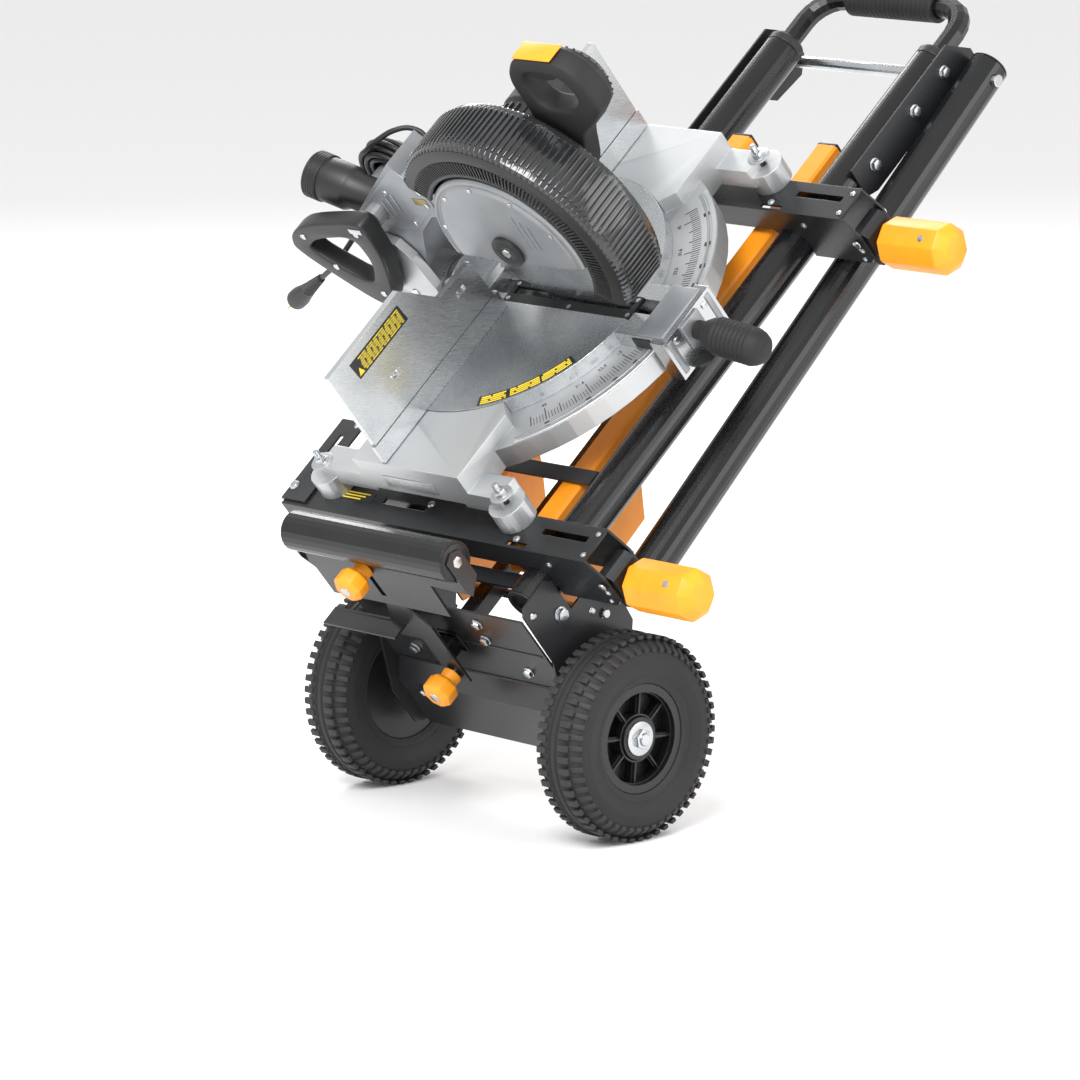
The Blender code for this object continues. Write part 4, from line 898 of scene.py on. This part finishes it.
def makeGuard():
    start, sweep = guardValues["start"], guardValues["sweep"]
    for name, sign in (("left", 1), ("right", -1)):
        section = ((117.2, 41), (150, 41), (158, 38), (158, 40.4), (151, 43.4), (143, 43.6), (141.5, 42.6),
                   (124, 42.6), (122.6, 44.8), (119, 44.8), (117.2, 43))
        ring = arcBand([(r, sign * h) for r, h in section], start, sweep, 96)
        for k in range(guardValues["fins"]):
            angle = start + 1.4 + (sweep - 2.8) * k / (guardValues["fins"] - 1)
            low, high = sorted((sign * 42.3, sign * 44.7))
            addBlock(ring, (122.4, -1.15, low), (142.4, 1.15, high), 0.4, guardTurn(angle))
        finishPiece(f"guardComb_{name}", ring, "mouldedNylon", "guard",
                    replaced=("lower_guard",) if sign > 0 else ())
    rim = arcBand([(157, 40.2), (161.6, 37), (163.4, 30), (163.4, -30), (161.6, -37), (157, -40.2),
                   (156, -38.6), (160, -35.4), (161.2, -29), (161.2, 29), (160, 35.4), (156, 38.6)],
                  start, sweep, 120)
    for k in range(guardValues["ribs"]):
        angle = start + 1.8 + (sweep - 3.6) * k / (guardValues["ribs"] - 1)
        addBlock(rim, (162.4, -1.7, -29), (165.9, 1.7, 29), 1.1, guardTurn(angle))
        for sign in (-1, 1):
            slope = Matrix.Translation((160.4, 0, sign * 34.6)) @ Matrix.Rotation(sign * 1.15, 4, "Y")
            addBlock(rim, (-5.6, -1.7, -1.2), (5.6, 1.7, 2.0), 0.8, guardTurn(angle) @ slope)
    finishPiece("guardRim", rim, "smokedGuard", "guard")
    pads = bmesh.new()
    for angle in (start + 2, start + sweep - 2):
        addBlock(pads, (120, -4, -40.8), (161, 4, 40.8), 1.8, guardTurn(angle))
    finishPiece("guardEndBars", pads, "mouldedNylon", "guard")


makeGuard()


# fixed cover over the blade, with its hub
def makeSideCover():
    cx, cy, cz = guardValues["centre"]
    shell = turnedMesh((cx, cy, cz), (0, -1, 0),
                       [(0.0, 49.6), (60, 49.6), (96, 48.8), (102, 47.6), (104, 46.0), (106, 46.0),
                        (108, 47.2), (111.5, 46.4), (113.8, 43.5), (113.8, 35), (0.0, 35)], 120)
    bmesh.ops.bisect_plane(shell, geom=shell.verts[:] + shell.edges[:] + shell.faces[:],
                           plane_co=(cx, cy, cz - 21.5), plane_no=(0, 0, -1), clear_outer=True)
    bmesh.ops.holes_fill(shell, edges=[e for e in shell.edges if e.is_boundary], sides=0)
    finishPiece("sideCover", shell, "greyLacquer", "head", replaced=("guard_side_cover",))
    hub = turnedMesh((cx, cy - 49.4, cz), (0, -1, 0),
                     [(0.0, 4.6), (6, 4.6), (7, 5.6), (11, 6.6), (21, 6.6), (23, 5.4), (23, 0), (0.0, 0)], 56)
    finishPiece("coverHub", hub, "mouldedAbs", "head")
    bolt = bmesh.new()
    addDisc(bolt, (cx, cy - 54.0, cz), toWheels, 6.8, 2.6, 6, edge=0.5)
    for k in range(5):
        angle = math.radians(20 + 36 * k)
        seat = (cx + 99 * math.cos(angle), cy - 48.4, cz + 99 * math.sin(angle))
        addDisc(bolt, seat, toWheels, 3.4, 0.9, 20, edge=0.3)
    finishPiece("coverBolts", bolt, "zincPlate", "head")
    lines = bmesh.new()
    for k in range(3):
        addBlock(lines, (cx + 44 + 9 * k, cy - 50, cz + 8), (cx + 45 + 9 * k, cy - 49.5, cz + 62 - 8 * k))
    finishPiece("coverPressLines", lines, "greyLacquer", "head")


makeSideCover()


# head arm with its covers and screws
def makeArmDetails():
    covers = bmesh.new()
    armSide = [(-128, 553), (-120, 543), (-92, 523), (-92, 482), (-116, 474), (-152, 446), (-190, 440),
               (-262, 440), (-268, 448)]
    absorb(covers, slabMesh("y", 371.0, 373.4, armSide, edge=0.8))
    absorb(covers, slabMesh("y", 430.6, 433.2, armSide, edge=0.8))
    finishPiece("armSideCovers", covers, "greyLacquer", "head")
    ribs = bmesh.new()
    for k in range(5):
        addBlock(ribs, (-250 + k * 15, 430.4, 378 + k * 3), (-246 + k * 15, 434.0, 400 + k * 4), 0.8)
        addBlock(ribs, (-214 + k * 13, 368.6, 452 + k * 5), (-211 + k * 13, 371.4, 474 + k * 8), 0.8)
    finishPiece("armRibs", ribs, "greyLacquer", "head")
    plate = bmesh.new()
    addBlock(plate, (-124, 370.2, 492), (-100, 371.2, 503), 0.3)
    finishPiece("dataPlate", plate, "giltPlate", "head")
    screws = bmesh.new()
    for x, z in ((-104, 514), (-104, 492), (-150, 456), (-238, 448), (-170, 506)):
        addDisc(screws, (x, 371.1, z), toWheels, 4.2, 1.8, 24, edge=0.5)
    addDisc(screws, (-222, sawY - 46.8, 400), toWheels, 11.5, 3, 6, edge=0.8)
    addDisc(screws, (-222, sawY + 46.8, 400), toHandle, 11.5, 3, 6, edge=0.8)
    finishPiece("headScrews", screws, "zincPlate", "head")


# carry handle at the back of the head
def makeCarryHandle():
    outer = [(-364, 424), (-352, 452), (-312, 474), (-200, 492), (-192, 470), (-196, 420), (-232, 345),
             (-262, 336)]
    inner = [(-336, 428), (-304, 450), (-226, 463), (-222, 418), (-250, 372)]
    loop = slabMesh("y", 328.4, 354.2, softOutline(outer), (softOutline(inner),), edge=3.4)
    finishPiece("carryLoop", loop, "mouldedAbs", "head",
                replaced=("rear_carry_handle",), angle=50)
    loopScrews = bmesh.new()
    for x, z in ((-300, sawY), (-214, 470), (-326, 452), (-240, 362)):
        addDisc(loopScrews, (x, 328.5, z), toWheels, 4.6, 1.2, 24, edge=0.4)
    finishPiece("carryScrews", loopScrews, "zincPlate", "head")
    slotBar = bmesh.new()
    addBlock(slotBar, (-222, 327.2, 472), (-200, 328.8, 480), 0.5)
    finishPiece("carrySlot", slotBar, "zincPlate", "head")


# operator's handle: a closed loop of soft grip with its root arm
def makeMainHandle():
    outline = [(72, 486), (100, 478), (122, 500), (150, 560), (190, 586), (216, 612), (208, 660), (178, 684),
               (110, 684), (82, 650), (84, 600), (76, 540)]
    hole = [(112, 604), (160, 602), (186, 622), (180, 652), (164, 662), (118, 662), (104, 640)]
    loop = slabMesh("y", 450.4, 481.6, softOutline(outline), (softOutline(hole),), edge=5.0)
    finishPiece("handleLoop", loop, "softGrip", "head", replaced=("main_handle",), angle=50)
    root = turnedMesh((94, 436.6, 500), toHandle, [(0.0, 0), (15.5, 0), (16.5, 1.2), (15, 16), (0.0, 16)], 40)
    finishPiece("handleRoot", root, "mouldedAbs", "head")
    clip = bmesh.new()
    addBlock(clip, (112, 452, 684.2), (176, 480, 685.6), 0.6)
    addDisc(clip, (190, 466, 600), (0.8, 0, -0.6), 6, 2.4, 32, edge=0.8)
    finishPiece("handleInlay", clip, "orangePolypropylene", "head")


# motor: finned can with a vented end cap; the can starts at motorValues["root"]
motorValues = {"x": 10.0, "z": 516.0, "root": 436.6, "end": 597.2, "slats": 26}


def makeMotor():
    motorX, motorZ, root = motorValues["x"], motorValues["z"], motorValues["root"]
    vents = turnedMesh((motorX, root, motorZ), toHandle,
                       [(48.2, 58), (51.8, 61), (51.8, 64), (50.4, 65), (50.4, 68), (51.8, 69), (51.8, 121),
                        (50.4, 122), (50.4, 125), (51.8, 126), (51.8, 129.5), (48.2, 131)], 72)
    finishPiece("motorBand", vents, "mouldedAbs", "head")
    slats = bmesh.new()
    for k in range(motorValues["slats"]):
        angle = 2 * math.pi * k / motorValues["slats"]
        turn = (Matrix.Translation((motorX, root, motorZ)) @ aim((0, 0, 0), (0, 1, 0))
                @ Matrix.Rotation(angle, 4, "Z"))
        addBlock(slats, (46.6, -1.6, 8), (51.2, 1.6, 52), 0.7, turn)
        addBlock(slats, (40.0, -1.3, 147), (47.4, 1.3, 153), 0.5, turn)
    finishPiece("motorSlats", slats, "mouldedNylon", "head")
    brush = bmesh.new()
    for sign in (1, -1):
        addDisc(brush, (motorX + sign * 50.6, 536, motorZ), (sign, 0, 0), 8.4, 1.2, 32, edge=0.4)
    finishPiece("brushCaps", brush, "softGrip", "head")
    endDisc = turnedMesh((motorX, motorValues["end"], motorZ), toHandle,
                         [(0.0, -0.4), (30, -0.4), (31, -1.2), (31, -3), (0.0, -3)], 56)
    finishPiece("motorEndDisc", endDisc, "greyLacquer", "head")


# dust port with a ribbed cap ring
def makeDustPort():
    start, end = Vector((-228, sawY, 448)), Vector((-342, sawY, 490))
    along = (end - start).normalized()
    profile = [(20.6, 118.6), (29.6, 118.6), (30.8, 117.6)]
    for k in range(5):
        h = 115.6 - k * 3.8
        profile += [(30.8, h), (29.9, h - 0.8), (29.9, h - 1.8), (30.8, h - 2.6)]
    profile += [(30.8, 97.4), (28.9, 96.6), (28.9, 62), (27.2, 58), (24, 53), (24, 4), (20.6, 4)]
    finishPiece("dustSleeve", turnedMesh(start, along, profile, 64), "mouldedAbs", "head",
                replaced=("dust_port",))
    # a dark disc across the bore, part way in, is painted shade inside the open port
    portShadeDisc = turnedMesh(start, along, [(0.0, 70), (20.4, 70), (20.4, 66), (0.0, 66)], 40)
    finishPiece("dustPortShadeDisc", portShadeDisc, "softGrip", "head")


makeArmDetails()
makeCarryHandle()
makeMainHandle()
makeMotor()
makeDustPort()


# bevel joint behind the table: end ring, nut and scale
bevelZ = 312.0


def makeBevelParts():
    ring = turnedMesh((-277.6, sawY, bevelZ), rear,
                      [(0.0, 0.6), (14, 0.6), (15, 0.2), (26, 0.2), (34, -0.4), (36, -3), (0.0, -3)], 56)
    finishPiece("bevelEndRing", ring, "greyLacquer", "bevel")
    nut = bmesh.new()
    addDisc(nut, (-277.2, sawY, bevelZ), rear, 13.6, 3.4, 6, edge=0.8)
    addDisc(nut, (-224, 357.8, 336), toWheels, 6, 1.0, 24, edge=0.3)
    addDisc(nut, (-200, 357.8, 322), toWheels, 6, 1.0, 24, edge=0.3)
    finishPiece("bevelNut", nut, "zincPlate", "bevel")
    lines = bmesh.new()
    for k in range(19):
        angle = math.radians(45 + 5 * k)
        turn = Matrix.Translation((-184, sawY, bevelZ)) @ Matrix.Rotation(angle - math.pi / 2, 4, "X")
        addBlock(lines, (0, -0.3, 43.9), (5 if k % 3 else 7.5, 0.3, 44.2), 0, turn)
    finishPiece("bevelMarks", lines, "markInk", "bevel")


makeBevelParts()


# grip that locks the mitre
def makeMitreGrip():
    tilt = math.radians(12)
    along = Vector((math.cos(tilt), 0, -math.sin(tilt)))
    start = Vector((202.3, sawY, 291)) + along * 6
    profile = [(0.0, 104), (8, 103.6), (9, 102.6), (13, 102.4), (18, 99), (21.4, 93)]
    for k in range(9):
        h = 84 - k * 6.4
        profile += [(23.6, h + 2), (23.9, h), (22.7, h - 1.4), (22.7, h - 2.8)]
    profile += [(21, 24), (15.5, 14), (12, 8), (12, 0), (0.0, 0)]
    finishPiece("ribbedLockGrip", turnedMesh(start, along, profile, 48), "softGrip", "mitre_grip",
                replaced=("mitre_lock_grip",))


# carbide tips on the blade's teeth
def makeTips(teeth=40):
    tips = bmesh.new()
    for tooth in range(teeth):
        turn = guardTurn(math.degrees(2 * math.pi * tooth / teeth + 0.036))
        addBlock(tips, (147.4, -1.0, -1.25), (151.9, 0.9, 1.25), 0.2, turn)
    finishPiece("carbideTips", tips, "zincPlate", "blade")


makeMitreGrip()
makeTips()
print("head, guard, handles and blade made")


# sheet edges and small marks on the black frame
def makeFrameTrims():
    beads = bmesh.new()
    addBlock(beads, (-150, -0.2, 128), (150, 0.6, 131), 0.4)
    addBlock(beads, (-150, -0.4, 66), (150, 0.6, 68), 0.4)
    finishPiece("panelBeads", beads, "powderCoatedSteel", "stand")
    window = bmesh.new()
    for low, high in (((-28.5, -1.4, 139), (8.5, 0.5, 142)), ((-28.5, -1.4, 108), (8.5, 0.5, 111)),
                      ((-29.5, -1.4, 110), (-26.5, 0.5, 140)), ((6.5, -1.4, 110), (9.5, 0.5, 140))):
        addBlock(window, low, high, 0.6)
    finishPiece("armGuide", window, "mouldedNylon", "stand")
    stickers, lines = bmesh.new(), bmesh.new()
    top = bar["top"]
    for barY in barStarts.values():
        addBlock(stickers, (-240, barY + 24, top), (-160, barY + 41, top + 0.25))
        for k in range(3):
            addBlock(lines, (-234, barY + 27 + k * 4.4, top + 0.25),
                     (-180 + k * 6, barY + 28.8 + k * 4.4, top + 0.4))
    finishPiece("barStickers", stickers, "blackVinyl", "carriage")
    finishPiece("barStickerBars", lines, "yellowVinyl", "carriage")


makeFrameTrims()
print("trims made")


# studio
studio = {"floor": "f4f4f4", "sky": "ffffff", "skyStrength": 0.9, "key": 215, "fill": 55, "rim": 110}


def makeStudio():
    bm = bmesh.new()
    bmesh.ops.create_grid(bm, x_segments=2, y_segments=2, size=14)
    mesh = bpy.data.meshes.new("studioFloor")
    bm.to_mesh(mesh)
    bm.free()
    floor = bpy.data.objects.new("studioFloor", mesh)
    bpy.context.scene.collection.objects.link(floor)
    paper, tree, shader = startFinish("paperSweep", 0.0)
    shader.inputs["Base Color"].default_value = linear(studio["floor"])
    shader.inputs["Roughness"].default_value = 0.9
    mesh.materials.append(paper)
    world = bpy.data.worlds.new("studioWorld")
    world.use_nodes = True
    sky = world.node_tree.nodes["Background"]
    sky.inputs["Color"].default_value = linear(studio["sky"])
    sky.inputs["Strength"].default_value = studio["skyStrength"]
    bpy.context.scene.world = world
    middle = Vector((0, 0.1, 0.45))
    for name, spot, size, power in (("keyLight", (1.6, -3.2, 3.6), 2.2, studio["key"]),
                                    ("fillLight", (3.8, 1.6, 1.8), 2.6, studio["fill"]),
                                    ("rimLight", (-3.0, 2.2, 3.2), 2.0, studio["rim"])):
        data = bpy.data.lights.new(name, "AREA")
        data.shape = "SQUARE"
        data.size = size
        data.energy = power
        lamp = bpy.data.objects.new(name, data)
        bpy.context.scene.collection.objects.link(lamp)
        lamp.location = spot
        lamp.rotation_euler = (middle - Vector(spot)).to_track_quat("-Z", "Y").to_euler()
    bpy.context.scene.view_settings.view_transform = "Standard"


makeStudio()
print("studio set")
